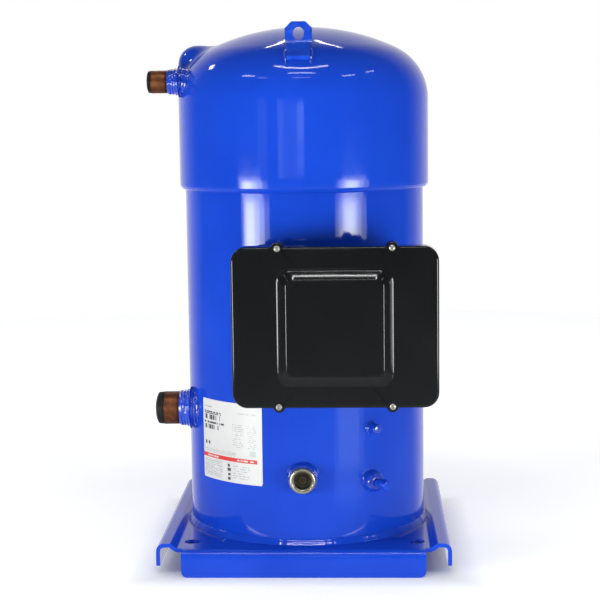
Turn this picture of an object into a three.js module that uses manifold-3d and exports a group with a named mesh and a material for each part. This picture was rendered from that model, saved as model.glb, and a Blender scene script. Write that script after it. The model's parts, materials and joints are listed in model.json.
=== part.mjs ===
// Hermetic scroll compressor: welded blue shell on a stamped base plate, motor and scrolls inside.
// Millimetres, +Z up. Origin: shell axis, on the underside of the base plate. Front is -Y.
import * as THREE from 'three';
import { mergeVertices } from 'three/addons/utils/BufferGeometryUtils.js';
import Module from 'manifold-3d';

const wasm = await Module();
wasm.setup();

// ---- Driving dimensions ---------------------------------------------------------------------

const GAP = 0.3; // clearance between faces that touch on the real machine
const SIDES = 32; // facets of the shell and of everything that nests in it
const FINE = 20; // facets of tubes, shafts and bosses
const COARSE = 12; // facets of small fasteners and pins

// Pressure shell
const SHELL_R = 154;
const SHELL_WALL = 5;
const SHELL_IN = SHELL_R - SHELL_WALL;
const SHELL_TOP = 468;
const FIT_R = SHELL_IN - GAP; // outside of whatever is pressed into the shell
const CAP_R = 161;
const CAP_IN = SHELL_R + GAP;
const CAP_WALL = CAP_R - CAP_IN;
const CAP_EDGE = 443.5; // lower edge of the cap skirt
const CAP_SPRING = 553.3; // where the straight skirt turns into the dome
const KNUCKLE_R = 72;
const CROWN_R = 280;
const BULGE = { x: -135, z: 596, r: 27, wall: 6 };

// Base plate
const PLATE_T = 5;
const PLATE_HALF = 182;
const FOOT_HALF = 150; // half width of the front and rear foot flanges
const FLAT_HALF = 154.5; // where the floor starts to swage up
const CREST_START = 166;
const CREST_RISE = 6;
const BEND_R = 10;
const SIDE_DROP = 17;
const FOOT_DROP = 28.7;
const NOTCH = 12;
const FLANGE_CORNER_R = 8;
const MOUNT_PITCH = 279.4;
const MOUNT_HOLE_R = 10;
const WELD_LEG = 7;

// Pipe stubs, both parallel to X on the left-hand side. bodyR is the shell's radius at the stub.
const STUB_Y = -50;
const SUCTION = {
  z: 158.4, r: 21.2, wall: 2, tip: -182.1, inner: -139, bodyR: SHELL_R,
  collarTip: -162.2, collarR: 23.4, finR: 27.6,
};
const DISCHARGE = {
  z: 576.8, r: 14.3, wall: 1.8, tip: -190.3, inner: -140, bodyR: 157.5,
  collarTip: -169.4, collarR: 16.1, finR: 20.2,
};
const SUCTION_PLUG_HEAD = 11.6;
const DISCHARGE_PLUG_HEAD = 5.2;
const PLUG_STEM = 14;

// Lifting lugs: a strap bent from an upright tab into a foot that lies on the dome
const LUG = {
  t: 5, half: 16.5, footHalf: 14, weldFlare: 1.5, tabY: -124, tabTop: 645.3, tabChamfer: 8,
  bendZ: 617.5, footY: -148, footZ: 599, eyeR: 6.6, eyeLow: 629.6, eyeStretch: 2.4,
};

// Sight glass, on the front; Y distances are from the shell axis
const SIGHT_Z = 89;
const SIGHT_BOSS_R = 19;
const SIGHT_BOSS_FACE = 164;
const SIGHT_RING_R = 16.5;
const SIGHT_RING_FACE = 172;
const SIGHT_THREAD_R = 14.5;
const SIGHT_THREAD_END = 146;
const SIGHT_BORE_R = 10.8;
const SIGHT_LENS = { back: 160, front: 165 };

// Small ports, radial, on the right-hand front
const PORT_AZIMUTH = THREE.MathUtils.degToRad(-56.8);
const GAUGE_PORT_Z = 147;
const SERVICE_PORT_Z = 80;

// Nameplate
const LABEL_FROM = THREE.MathUtils.degToRad(-146.3);
const LABEL_TO = THREE.MathUtils.degToRad(-109);
const LABEL_LOW = 77;
const LABEL_HIGH = 178.5;
const LABEL_T = 0.5;

// Terminal box
const BOX_X = 42.4;
const BOX_Z = 283.8;
const COVER_HALF_X = 122.5;
const COVER_HALF_Z = 96;
const COVER_R = 18;
const COVER_T = 2;
const COVER_FRONT = -214;
const COVER_BACK = -190;
const EDGE_R = 3;
const PANEL_HALF = 67.4;
const PANEL_SLOPE = 10;
const PANEL_RISE = 8;
const EAR_R = 7.5;
const SCREW_X = 67.4;
const SCREW_Z = 94.2;
const TRAY_BACK = -160;
const TRAY_FRONT = -208;
const TRAY_INSET = 4.5;
const TERMINAL_Z = 343;
const TERMINAL_R = 27.7;
const CABLE_ENTRY = { x: -10, y: -175, r: 11 };

// Motor
const STATOR_LOW = 186;
const STATOR_HIGH = 306;
const STATOR_BORE = 79.5;
const ROTOR_R = 78;
const WINDING_OUT = 118;
const WINDING_IN = 88;
const SHAFT_R = 26;
const JOURNAL_R = 24;
const LOWER_JOURNAL_R = 20;

// Scroll pump
const ORBIT = 8; // crank throw
const WRAP_T = 5;
const WRAP_CLEAR = 0.4;
const WRAP_H = 45.6;
const PITCH = 2 * (ORBIT + WRAP_T + WRAP_CLEAR);
const BASE_CIRCLE = PITCH / (2 * Math.PI);
const WRAP_START = 2;
const WRAP_TURNS = 3;
const STEPS_PER_TURN = 20;
const FRAME_TOP = 440;
const PLATE_LOW = 447.7; // underside of the orbiting scroll's plate
const PLATE_HIGH = 459;
const FIXED_LOW = PLATE_HIGH + WRAP_H + WRAP_CLEAR; // underside of the fixed scroll's plate
const FIXED_HIGH = 525;
const PIN_R = 14;
const HUB_R = 31;
const OLDHAM_IN = 101;
const OLDHAM_OUT = 118;
const KEY = 12;

// ---- Materials --------------------------------------------------------------------------------

const finish = (color, roughness, metalness) => () =>
  new THREE.MeshStandardMaterial({ color, roughness, metalness });
const bluePaint = finish(0x1440c8, 0.25, 0);
const blackEnamel = finish(0x0b0b0d, 0.15, 0);
const blackPlastic = finish(0x16161a, 0.5, 0);
const copper = finish(0x9a5a38, 0.4, 1);
const zincSteel = finish(0xb9b3a0, 0.3, 1);
const bareSteel = finish(0x8c8f94, 0.4, 1);
const castIron = finish(0x4a4c50, 0.6, 1);
const bronze = finish(0xa9803c, 0.4, 1);
const aluminium = finish(0xb4b7ba, 0.4, 1);
const copperWire = finish(0x8a3f1c, 0.5, 0.6);
const laminations = finish(0x5e6064, 0.55, 1);
const whiteVinyl = finish(0xe8e8e4, 0.4, 0);
const darkGlass = finish(0x15120e, 0.08, 0);
const greyRubber = finish(0x26262a, 0.8, 0);

// ---- Solid helpers ------------------------------------------------------------------------------

function solid(geometry) {
  const bare = geometry.clone();
  bare.deleteAttribute('normal');
  bare.deleteAttribute('uv');
  const merged = mergeVertices(bare, 1e-4);
  const index = merged.index.array;
  const triangles = [];
  for (let i = 0; i < index.length; i += 3) {
    const [a, b, c] = [index[i], index[i + 1], index[i + 2]];
    if (a !== b && b !== c && c !== a) triangles.push(a, b, c);
  }
  return new wasm.Manifold(new wasm.Mesh({
    numProp: 3,
    vertProperties: merged.attributes.position.array,
    triVerts: new Uint32Array(triangles),
  }));
}

function meshGeometry(manifold) {
  const mesh = manifold.getMesh();
  const geometry = new THREE.BufferGeometry();
  geometry.setAttribute('position', new THREE.BufferAttribute(new Float32Array(mesh.vertProperties), 3));
  geometry.setIndex(new THREE.BufferAttribute(new Uint32Array(mesh.triVerts), 1));
  geometry.computeVertexNormals();
  return geometry;
}

const joined = (...pieces) => pieces.reduce((whole, piece) => whole.add(piece));
const cut = (whole, ...tools) => tools.reduce((left, tool) => left.subtract(tool), whole);

// Solid of revolution about Z. The profile lists [radius, height], outer side going up.
function turned(profile, sides = FINE) {
  const points = profile.map(([r, z]) => new THREE.Vector2(r, z));
  return solid(new THREE.LatheGeometry(points, sides).rotateX(Math.PI / 2));
}

function ring(inner, outer, low, high, sides = FINE) {
  return turned([[inner, low], [outer, low], [outer, high], [inner, high], [inner, low]], sides);
}

function rod(radius, low, high, sides = FINE) {
  return turned([[0, low], [radius, low], [radius, high], [0, high]], sides);
}

function block(x0, x1, y0, y1, z0, z1) {
  const box = new THREE.BoxGeometry(x1 - x0, y1 - y0, z1 - z0);
  return solid(box.translate((x0 + x1) / 2, (y0 + y1) / 2, (z0 + z1) / 2));
}

// Turn a solid built about +Z so that its axis points another way.
const alongX = (piece) => piece.rotate([0, 90, 0]); // +Z becomes +X
const alongFront = (piece) => piece.rotate([90, 0, 0]); // +Z becomes -Y
const radial = (piece, azimuth, z) =>
  alongX(piece).rotate([0, 0, THREE.MathUtils.radToDeg(azimuth)]).translate([0, 0, z]);

function roundedRect(halfX, halfY, radius) {
  const shape = new THREE.Shape();
  shape.moveTo(-halfX + radius, -halfY);
  shape.lineTo(halfX - radius, -halfY);
  shape.absarc(halfX - radius, -halfY + radius, radius, -Math.PI / 2, 0);
  shape.lineTo(halfX, halfY - radius);
  shape.absarc(halfX - radius, halfY - radius, radius, 0, Math.PI / 2);
  shape.lineTo(-halfX + radius, halfY);
  shape.absarc(-halfX + radius, halfY - radius, radius, Math.PI / 2, Math.PI);
  shape.lineTo(-halfX, -halfY + radius);
  shape.absarc(-halfX + radius, -halfY + radius, radius, Math.PI, Math.PI * 1.5);
  return shape;
}

function prism(shape, depth, options = {}) {
  const settings = { depth, bevelEnabled: false, curveSegments: 3, ...options };
  return solid(new THREE.ExtrudeGeometry(shape, settings));
}

// ---- Scene assembly -----------------------------------------------------------------------------

const compressor = new THREE.Group();

function addPart(name, manifold, material, parent = compressor, position = [0, 0, 0]) {
  const mesh = new THREE.Mesh(meshGeometry(manifold), material());
  mesh.name = name;
  mesh.position.set(...position);
  parent.add(mesh);
  return mesh;
}

// ---- Base plate ---------------------------------------------------------------------------------

// Section across the sides: a flat floor that swages up, then rolls down into the side flanges.
function sideSection() {
  const shape = new THREE.Shape();
  const crest = PLATE_T + CREST_RISE;
  const swage = (FLAT_HALF + CREST_START) / 2;
  const innerR = BEND_R - PLATE_T;
  const bendX = PLATE_HALF - BEND_R;
  shape.moveTo(-FLAT_HALF, 0);
  shape.lineTo(FLAT_HALF, 0);
  shape.bezierCurveTo(swage, 0, swage, CREST_RISE, CREST_START, CREST_RISE);
  shape.lineTo(bendX, CREST_RISE);
  shape.absarc(bendX, crest - BEND_R, innerR, Math.PI / 2, 0, true);
  shape.lineTo(PLATE_HALF - PLATE_T, -SIDE_DROP);
  shape.lineTo(PLATE_HALF, -SIDE_DROP);
  shape.absarc(bendX, crest - BEND_R, BEND_R, 0, Math.PI / 2, false);
  shape.lineTo(CREST_START, crest);
  shape.bezierCurveTo(swage, crest, swage, PLATE_T, FLAT_HALF, PLATE_T);
  shape.lineTo(-FLAT_HALF, PLATE_T);
  shape.bezierCurveTo(-swage, PLATE_T, -swage, crest, -CREST_START, crest);
  shape.lineTo(-bendX, crest);
  shape.absarc(-bendX, crest - BEND_R, BEND_R, Math.PI / 2, Math.PI, false);
  shape.lineTo(-PLATE_HALF, -SIDE_DROP);
  shape.lineTo(-PLATE_HALF + PLATE_T, -SIDE_DROP);
  shape.absarc(-bendX, crest - BEND_R, innerR, Math.PI, Math.PI / 2, true);
  shape.lineTo(-CREST_START, CREST_RISE);
  shape.bezierCurveTo(-swage, CREST_RISE, -swage, 0, -FLAT_HALF, 0);
  return shape;
}

// Section from front to back: the floor bends straight down into the two foot flanges.
function footSection() {
  const shape = new THREE.Shape();
  const bendX = PLATE_HALF - BEND_R;
  const bendZ = PLATE_T - BEND_R;
  const innerR = BEND_R - PLATE_T;
  shape.moveTo(-bendX, 0);
  shape.lineTo(bendX, 0);
  shape.absarc(bendX, bendZ, innerR, Math.PI / 2, 0, true);
  shape.lineTo(PLATE_HALF - PLATE_T, -FOOT_DROP);
  shape.lineTo(PLATE_HALF, -FOOT_DROP);
  shape.absarc(bendX, bendZ, BEND_R, 0, Math.PI / 2, false);
  shape.lineTo(-bendX, PLATE_T);
  shape.absarc(-bendX, bendZ, BEND_R, Math.PI / 2, Math.PI, false);
  shape.lineTo(-PLATE_HALF, -FOOT_DROP);
  shape.lineTo(-PLATE_HALF + PLATE_T, -FOOT_DROP);
  shape.absarc(-bendX, bendZ, innerR, Math.PI, Math.PI / 2, true);
  return shape;
}

// Front view of the foot flanges, with their rounded lower corners.
function flangeOutline() {
  const shape = new THREE.Shape();
  const corner = FLANGE_CORNER_R;
  shape.moveTo(-FOOT_HALF + corner, -FOOT_DROP);
  shape.lineTo(FOOT_HALF - corner, -FOOT_DROP);
  shape.absarc(FOOT_HALF - corner, -FOOT_DROP + corner, corner, -Math.PI / 2, 0);
  shape.lineTo(FOOT_HALF, PLATE_T + 1);
  shape.lineTo(-FOOT_HALF, PLATE_T + 1);
  shape.absarc(-FOOT_HALF + corner, -FOOT_DROP + corner, corner, Math.PI, Math.PI * 1.5);
  return shape;
}

function basePlate() {
  const length = 2 * (PLATE_HALF - NOTCH);
  const sides = prism(sideSection(), length).rotate([90, 0, 0]).translate([0, length / 2, 0]);
  const feet = prism(footSection(), 2 * FOOT_HALF).rotate([90, 0, 0]).rotate([0, 0, 90])
    .translate([-FOOT_HALF, 0, 0]);
  const outline = prism(flangeOutline(), 2 * PLATE_HALF + 2).rotate([90, 0, 0])
    .translate([0, PLATE_HALF + 1, 0]);
  const weldIn = SHELL_R + GAP;
  const bead = turned([[weldIn, 4], [weldIn + WELD_LEG, 4], [weldIn + WELD_LEG, PLATE_T],
    [weldIn + WELD_LEG / 2, PLATE_T + WELD_LEG * 0.7], [weldIn, PLATE_T + WELD_LEG], [weldIn, 4]], SIDES);
  const at = MOUNT_PITCH / 2;
  const holes = [[-at, -at], [at, -at], [at, at], [-at, at]]
    .map(([x, y]) => rod(MOUNT_HOLE_R, -1, PLATE_T + 1).translate([x, y, 0]));
  return cut(joined(sides, feet.intersect(outline), bead), ...holes);
}

// ---- Pressure shell -----------------------------------------------------------------------------

function arcPoints(centreR, centreZ, radius, from, to, steps) {
  return Array.from({ length: steps + 1 }, (_, i) => {
    const angle = from + ((to - from) * i) / steps;
    return [centreR + radius * Math.cos(angle), centreZ + radius * Math.sin(angle)];
  });
}

// Half section of the dome from the spring line to the apex, offset inwards by the given depth.
function domeProfile(inset, knuckleSteps = 5) {
  const knuckleCentre = CAP_R - KNUCKLE_R;
  const tangent = Math.acos(knuckleCentre / (CROWN_R - KNUCKLE_R));
  const crownCentre = CAP_SPRING - (CROWN_R - KNUCKLE_R) * Math.sin(tangent);
  const knuckle = arcPoints(knuckleCentre, CAP_SPRING, KNUCKLE_R - inset, 0, tangent, knuckleSteps);
  const crown = arcPoints(0, crownCentre, CROWN_R - inset, tangent, Math.PI / 2, 3).slice(1);
  crown[crown.length - 1][0] = 0;
  return [...knuckle, ...crown];
}

// Everything inside the cap's outer surface, grown by a clearance.
function capEnvelope(grow = 0) {
  const skirt = [[0, CAP_EDGE - 40], [CAP_R + grow, CAP_EDGE - 40]];
  return joined(turned([...skirt, ...domeProfile(-grow)], SIDES), bulgeBall(BULGE.r + grow));
}

const bulgeBall = (radius) =>
  solid(new THREE.SphereGeometry(radius, 16, 10)).translate([BULGE.x, 0, BULGE.z]);

const shellEnvelope = (radius) => rod(radius, 0, SHELL_TOP, SIDES);

const stubTool = (stub, radius) =>
  alongX(rod(radius, 0, 90)).translate([-215, STUB_Y, stub.z]);

function topCap() {
  const outside = turned([[0, CAP_EDGE], [CAP_R - 2, CAP_EDGE], [CAP_R, CAP_EDGE + 2],
    ...domeProfile(0)], SIDES);
  const inside = turned([[0, CAP_EDGE - 1], [CAP_IN, CAP_EDGE - 1], ...domeProfile(CAP_WALL, 4)], SIDES);
  const bulge = bulgeBall(BULGE.r).intersect(block(-200, 0, -60, 60, CAP_EDGE, 700));
  return cut(joined(outside, bulge), inside, bulgeBall(BULGE.r - BULGE.wall),
    stubTool(DISCHARGE, DISCHARGE.r + GAP));
}

function lowerShell() {
  return cut(
    ring(SHELL_IN, SHELL_R, PLATE_T + GAP, SHELL_TOP, SIDES),
    stubTool(SUCTION, SUCTION.r + GAP),
    alongFront(rod(SIGHT_THREAD_R + GAP, 100, 200)).translate([0, 0, SIGHT_Z]),
    alongFront(rod(TERMINAL_R + GAP, 100, 200)).translate([0, 0, TERMINAL_Z]),
    radial(rod(3.5, 100, 200, COARSE), PORT_AZIMUTH, GAUGE_PORT_Z),
    radial(rod(5, 100, 200, COARSE), PORT_AZIMUTH, SERVICE_PORT_Z),
  );
}

const bottomHead = () => turned([[0, 7], [118, 9], [140, 18], [FIT_R, 33], [FIT_R, 52],
  [FIT_R - 5, 52], [FIT_R - 5, 34], [136, 22], [116, 14], [0, 12]], SIDES);

// ---- Lifting lugs ---------------------------------------------------------------------------------

// Strap seen from the side, its underside buried in the dome.
function lugSide() {
  const face = LUG.tabY - LUG.t;
  const side = new THREE.Shape();
  side.moveTo(LUG.tabY, LUG.tabTop);
  side.lineTo(face, LUG.tabTop);
  side.lineTo(face, LUG.bendZ + 5.5);
  side.lineTo(face - 1.5, LUG.bendZ + 3.5);
  side.lineTo(LUG.footY - 2.5, LUG.footZ + 5.5);
  side.lineTo(LUG.footY - 5.5, LUG.footZ + 1.5);
  side.lineTo(LUG.footY + 3, LUG.footZ - 10);
  side.lineTo(LUG.tabY, LUG.bendZ - 10);
  return side;
}

// Strap seen from the front: chamfered tab, slightly narrower foot flared at its weld.
function lugFront() {
  const { half, footHalf, tabTop, tabChamfer, bendZ, footZ } = LUG;
  const flare = footHalf + LUG.weldFlare;
  const outline = [[flare, footZ - 20], [flare, footZ + 4], [footHalf, footZ + 8], [footHalf, bendZ],
    [half, bendZ + 5], [half, tabTop - tabChamfer], [half - tabChamfer, tabTop]];
  const mirrored = outline.map(([x, z]) => [-x, z]).reverse();
  return new THREE.Shape([...outline, ...mirrored].map(([x, z]) => new THREE.Vector2(x, z)));
}

function lug() {
  const strap = prism(lugSide(), 2 * LUG.half).rotate([90, 0, 0]).rotate([0, 0, 90])
    .translate([-LUG.half, 0, 0]);
  const outline = prism(lugFront(), 80).rotate([90, 0, 0]).translate([0, -100, 0]);
  const eye = alongFront(rod(LUG.eyeR, 90, 190)).translate([0, 0, LUG.eyeLow]);
  return cut(strap.intersect(outline), eye, eye.translate([0, 0, LUG.eyeStretch]), capEnvelope(GAP));
}

// ---- Pipe stubs -------------------------------------------------------------------------------------

// Each stub lies along X; heights in these profiles are distances from the shell axis.
function stubCollar(stub, envelope) {
  const tip = -stub.collarTip;
  const bore = stub.r + GAP;
  const fin = Math.sqrt(stub.bodyR ** 2 - STUB_Y ** 2) + 2;
  const profile = [[bore, 110], [stub.collarR + 3, 110], [stub.collarR + 3, fin - 1],
    [stub.finR, fin], [stub.finR - 0.5, fin + 1.5], [stub.collarR + 1, fin + 4],
    [stub.collarR, tip - 3], [stub.collarR - 0.6, tip], [bore, tip], [bore, 110]];
  return cut(alongX(turned(profile)).rotate([0, 0, 180]).translate([0, STUB_Y, stub.z]), envelope);
}

function stubTube(stub) {
  const profile = [[stub.r - stub.wall, -stub.inner], [stub.r, -stub.inner], [stub.r, -stub.tip - 0.6],
    [stub.r - 0.6, -stub.tip], [stub.r - stub.wall, -stub.tip], [stub.r - stub.wall, -stub.inner]];
  return alongX(turned(profile)).rotate([0, 0, 180]).translate([0, STUB_Y, stub.z]);
}

// Push-in shipping plug: a tapered head against the tube end, and a hollow stem inside the bore.
function stubPlug(stub, headLength) {
  const face = -stub.tip + GAP;
  const stemR = stub.r - stub.wall - 0.5;
  const profile = [[0, face + 1], [stemR - 2, face + 1], [stemR - 2, face - PLUG_STEM],
    [stemR, face - PLUG_STEM], [stemR, face], [stub.r - 0.4, face],
    [stub.r - 0.5, face + headLength - 2], [stub.r - 2, face + headLength], [0, face + headLength]];
  return alongX(turned(profile)).rotate([0, 0, 180]).translate([0, STUB_Y, stub.z]);
}

// ---- Sight glass and small ports -------------------------------------------------------------------

function sightGlassBoss() {
  const blank = ring(SIGHT_THREAD_R + GAP, SIGHT_BOSS_R, 130, SIGHT_BOSS_FACE);
  return cut(alongFront(blank).translate([0, 0, SIGHT_Z]), shellEnvelope(SHELL_R + GAP));
}

function sightGlassBody() {
  const seat = SIGHT_BOSS_FACE + GAP;
  const face = SIGHT_RING_FACE;
  const profile = [[SIGHT_BORE_R, SIGHT_THREAD_END], [SIGHT_THREAD_R, SIGHT_THREAD_END],
    [SIGHT_THREAD_R, seat], [SIGHT_RING_R, seat], [SIGHT_RING_R, face - 2], [SIGHT_RING_R - 1.5, face],
    [SIGHT_BORE_R + 2, face], [SIGHT_BORE_R, face - 3], [SIGHT_BORE_R, SIGHT_THREAD_END]];
  return alongFront(turned(profile)).translate([0, 0, SIGHT_Z]);
}

const sightGlassLens = () =>
  alongFront(rod(SIGHT_BORE_R - GAP, SIGHT_LENS.back, SIGHT_LENS.front)).translate([0, 0, SIGHT_Z]);

function gaugePort() {
  const blank = turned([[0, 140], [8, 140], [8, 156], [6.4, 158], [6.2, 167], [4.8, 169.5], [0, 170]], COARSE);
  return cut(radial(blank, PORT_AZIMUTH, GAUGE_PORT_Z), shellEnvelope(SHELL_R + GAP));
}

function servicePortBoss() {
  const blank = turned([[4.3, 130], [13.5, 130], [13.5, 162], [12, 166], [8, 168], [4.3, 168], [4.3, 130]]);
  return cut(radial(blank, PORT_AZIMUTH, SERVICE_PORT_Z), shellEnvelope(SHELL_R + GAP));
}

function servicePortStem() {
  const profile = [[1.5, 145], [4, 145], [4, 168 + GAP], [5.2, 168 + GAP], [5.2, 176], [4.2, 176],
    [4.2, 184], [1.5, 184], [1.5, 145]];
  return radial(turned(profile, COARSE), PORT_AZIMUTH, SERVICE_PORT_Z);
}

function servicePortCap() {
  const profile = [[4.6, 177], [6.4, 177], [6.8, 178], [6.8, 189], [5.6, 191], [0, 191], [0, 185.5],
    [4.6, 185.5], [4.6, 177]];
  return radial(turned(profile, COARSE), PORT_AZIMUTH, SERVICE_PORT_Z);
}

function nameplate() {
  const inner = SHELL_R + GAP;
  const shape = new THREE.Shape();
  shape.absarc(0, 0, inner + LABEL_T, LABEL_FROM, LABEL_TO, false);
  shape.absarc(0, 0, inner, LABEL_TO, LABEL_FROM, true);
  return prism(shape, LABEL_HIGH - LABEL_LOW, { curveSegments: 10 }).translate([0, 0, LABEL_LOW]);
}

// ---- Terminal box -----------------------------------------------------------------------------------

// Box pieces are built about the box centre, with Y still measured from the shell axis.
const facing = (piece, front) => piece.rotate([90, 0, 0]).translate([0, front, 0]);

// Slab with rounded corners, from the front plane back to the rear plane.
function slab(halfX, halfZ, radius, front, back, edge = 0) {
  const shape = roundedRect(halfX - edge, halfZ - edge, radius - edge);
  const options = edge > 0
    ? { bevelEnabled: true, bevelThickness: edge, bevelSize: edge, bevelSegments: 2 }
    : {};
  const blank = prism(shape, back - front - edge, options);
  const placed = facing(blank, back);
  return edge > 0 ? placed.intersect(block(-300, 300, front - 1, back, -300, 300)) : placed;
}

function raisedPanel(half, front, back) {
  const shape = roundedRect(half - PANEL_SLOPE, half - PANEL_SLOPE, 8);
  const options = { bevelEnabled: true, bevelThickness: PANEL_RISE, bevelSize: PANEL_SLOPE, bevelSegments: 1 };
  const blank = prism(shape, 4, options);
  return facing(blank, front + PANEL_RISE + 4).intersect(block(-300, 300, front - 1, back, -300, 300));
}

const screwSpots = [[-SCREW_X, SCREW_Z], [SCREW_X, SCREW_Z], [SCREW_X, -SCREW_Z], [-SCREW_X, -SCREW_Z]];

const post = (radius, front, back, [x, z], sides = COARSE) =>
  alongFront(rod(radius, -back, -front, sides)).translate([x, 0, z]);

function boxCover() {
  const inside = COVER_FRONT + COVER_T;
  const ears = screwSpots.map((spot) => post(EAR_R, COVER_FRONT, COVER_BACK, spot));
  const outer = joined(slab(COVER_HALF_X, COVER_HALF_Z, COVER_R, COVER_FRONT, COVER_BACK, EDGE_R),
    raisedPanel(PANEL_HALF, COVER_FRONT - PANEL_RISE, inside), ...ears);
  const hollow = joined(
    slab(COVER_HALF_X - COVER_T, COVER_HALF_Z - COVER_T, COVER_R - COVER_T, inside, COVER_BACK + 1),
    raisedPanel(PANEL_HALF - COVER_T, inside - PANEL_RISE, inside + 1),
    ...screwSpots.map((spot) => post(EAR_R - COVER_T, inside, COVER_BACK + 1, spot)));
  return cut(outer, hollow, ...screwSpots.map((spot) => post(2.4, COVER_FRONT - 1, inside + 1, spot)));
}

function boxTray() {
  const halfX = COVER_HALF_X - TRAY_INSET;
  const halfZ = COVER_HALF_Z - TRAY_INSET;
  const radius = COVER_R - TRAY_INSET;
  const tray = cut(slab(halfX, halfZ, radius, TRAY_FRONT, TRAY_BACK),
    slab(halfX - COVER_T, halfZ - COVER_T, radius - COVER_T, TRAY_FRONT - 1, TRAY_BACK - COVER_T));
  const posts = screwSpots.map((spot) => post(5.1, TRAY_FRONT, TRAY_BACK, spot));
  const pilots = screwSpots.map((spot) => post(2.4, TRAY_FRONT - 1, TRAY_FRONT + 20, spot));
  const terminalWindow = post(31, -170, -150, [-BOX_X, TERMINAL_Z - BOX_Z], FINE);
  const cableEntry = rod(CABLE_ENTRY.r, -COVER_HALF_Z - 5, -COVER_HALF_Z + 15)
    .translate([CABLE_ENTRY.x, CABLE_ENTRY.y, 0]);
  const earthHole = post(2.8, -170, -150, [20, -64]);
  return cut(joined(tray, ...posts), ...pilots, terminalWindow, cableEntry, earthHole);
}

function coverGasket() {
  const halfX = COVER_HALF_X - TRAY_INSET - 0.5;
  const halfZ = COVER_HALF_Z - TRAY_INSET - 0.5;
  const radius = COVER_R - TRAY_INSET - 0.5;
  const front = COVER_FRONT + COVER_T + GAP;
  const back = TRAY_FRONT - GAP;
  return cut(slab(halfX, halfZ, radius, front, back),
    slab(halfX - 6, halfZ - 6, radius - 6, front - 1, back + 1));
}

function coverScrew() {
  const head = turned([[0, 0], [3.9, 0], [3.9, 1.6], [2.6, 3], [0, 3]], COARSE);
  const slot = joined(block(-2.2, 2.2, -0.5, 0.5, 1.8, 4), block(-0.5, 0.5, -2.2, 2.2, 1.8, 4));
  return alongFront(joined(cut(head, slot), rod(2, -20, 0.5, COARSE)));
}

function saddle(centreZ) {
  const blank = block(-50, 58, TRAY_BACK + GAP, -100, centreZ - 9, centreZ + 9);
  const web = cut(blank, shellEnvelope(SHELL_R + GAP));
  return cut(web, block(-52, 60, -130, -90, centreZ - 10, centreZ + 10));
}

const pinSpots = [90, 210, 330].map((angle) => {
  const turn = THREE.MathUtils.degToRad(angle);
  return [-BOX_X + 12 * Math.cos(turn), TERMINAL_Z - BOX_Z + 12 * Math.sin(turn)];
});

function terminalCup() {
  const centre = [-BOX_X, TERMINAL_Z - BOX_Z];
  const cup = cut(post(TERMINAL_R, -158, -138, centre, FINE), post(24, -159, -145, centre, FINE));
  return cut(cup, ...pinSpots.map((spot) => post(2.9, -150, -130, spot)));
}

function terminalBlock() {
  const body = slab(22, 22, 6, -181, -165).translate([-BOX_X, 0, TERMINAL_Z - BOX_Z]);
  const barrier = block(-1.2, 1.2, -187, -180, 0, 19).translate([-BOX_X, 0, TERMINAL_Z - BOX_Z]);
  const sockets = pinSpots.map((spot) => post(2.9, -175, -160, spot));
  return cut(joined(body, barrier), ...sockets);
}

function protectionModule() {
  const face = TRAY_BACK - COVER_T - GAP;
  const body = slab(38, 30, 4, face - 24, face);
  const shelf = slab(32, 8, 3, face - 30, face - 23).translate([0, 0, 12]);
  return joined(body, shelf).translate([64, 0, 14]);
}

function earthScrew() {
  const face = -(TRAY_BACK - COVER_T - GAP);
  const head = new THREE.CylinderGeometry(5, 5, 4, 6).rotateX(Math.PI / 2).translate(0, 0, face + 2);
  return alongFront(joined(solid(head), rod(2.4, 153, face + 1, COARSE))).translate([20, 0, -64]);
}

function knockoutPlug() {
  const wall = -COVER_HALF_Z + TRAY_INSET;
  const stem = CABLE_ENTRY.r - 0.4;
  return turned([[0, wall - 4], [stem + 2, wall - 4], [stem + 3, wall - 3], [stem + 3, wall - GAP],
    [stem, wall - GAP], [stem, wall + 7], [stem - 2, wall + 7], [stem - 2, wall - 1.5], [0, wall - 1.5]])
    .translate([CABLE_ENTRY.x, CABLE_ENTRY.y, 0]);
}

// ---- Motor and bearings -----------------------------------------------------------------------------

function lowerBracket() {
  const disc = ring(26 + GAP, FIT_R, 104, 112, SIDES);
  const hub = ring(26 + GAP, 37, 96, 128);
  const windows = [45, 135, 225, 315].map((angle) => {
    const shape = new THREE.Shape();
    const half = THREE.MathUtils.degToRad(32);
    shape.absarc(0, 0, 132, -half, half, false);
    shape.absarc(0, 0, 50, half, -half, true);
    return prism(shape, 20, { curveSegments: 4 }).rotate([0, 0, angle]).translate([0, 0, 98]);
  });
  return cut(joined(disc, hub), ...windows);
}

function statorCore() {
  const passages = [0, 60, 120, 180, 240, 300].map((angle) =>
    rod(13, STATOR_LOW - 1, STATOR_HIGH + 1, COARSE).translate([FIT_R + 2, 0, 0]).rotate([0, 0, angle + 30]));
  return cut(ring(STATOR_BORE, FIT_R, STATOR_LOW, STATOR_HIGH, SIDES), ...passages);
}

function winding(low, high) {
  const round = 8;
  return turned([[WINDING_IN, low + round], [WINDING_IN + round, low], [WINDING_OUT - round, low],
    [WINDING_OUT, low + round], [WINDING_OUT, high - round], [WINDING_OUT - round, high],
    [WINDING_IN + round, high], [WINDING_IN, high - round], [WINDING_IN, low + round]], FINE);
}

function crankshaft() {
  const shaft = turned([[0, 64], [LOWER_JOURNAL_R, 64], [LOWER_JOURNAL_R, 134], [SHAFT_R, 134],
    [SHAFT_R, 362], [JOURNAL_R, 362], [JOURNAL_R, 406], [0, 406]]);
  const pin = rod(PIN_R, 400, 440).translate([0, ORBIT, 0]);
  return cut(joined(shaft, pin), rod(3.5, 60, 445, COARSE));
}

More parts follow.
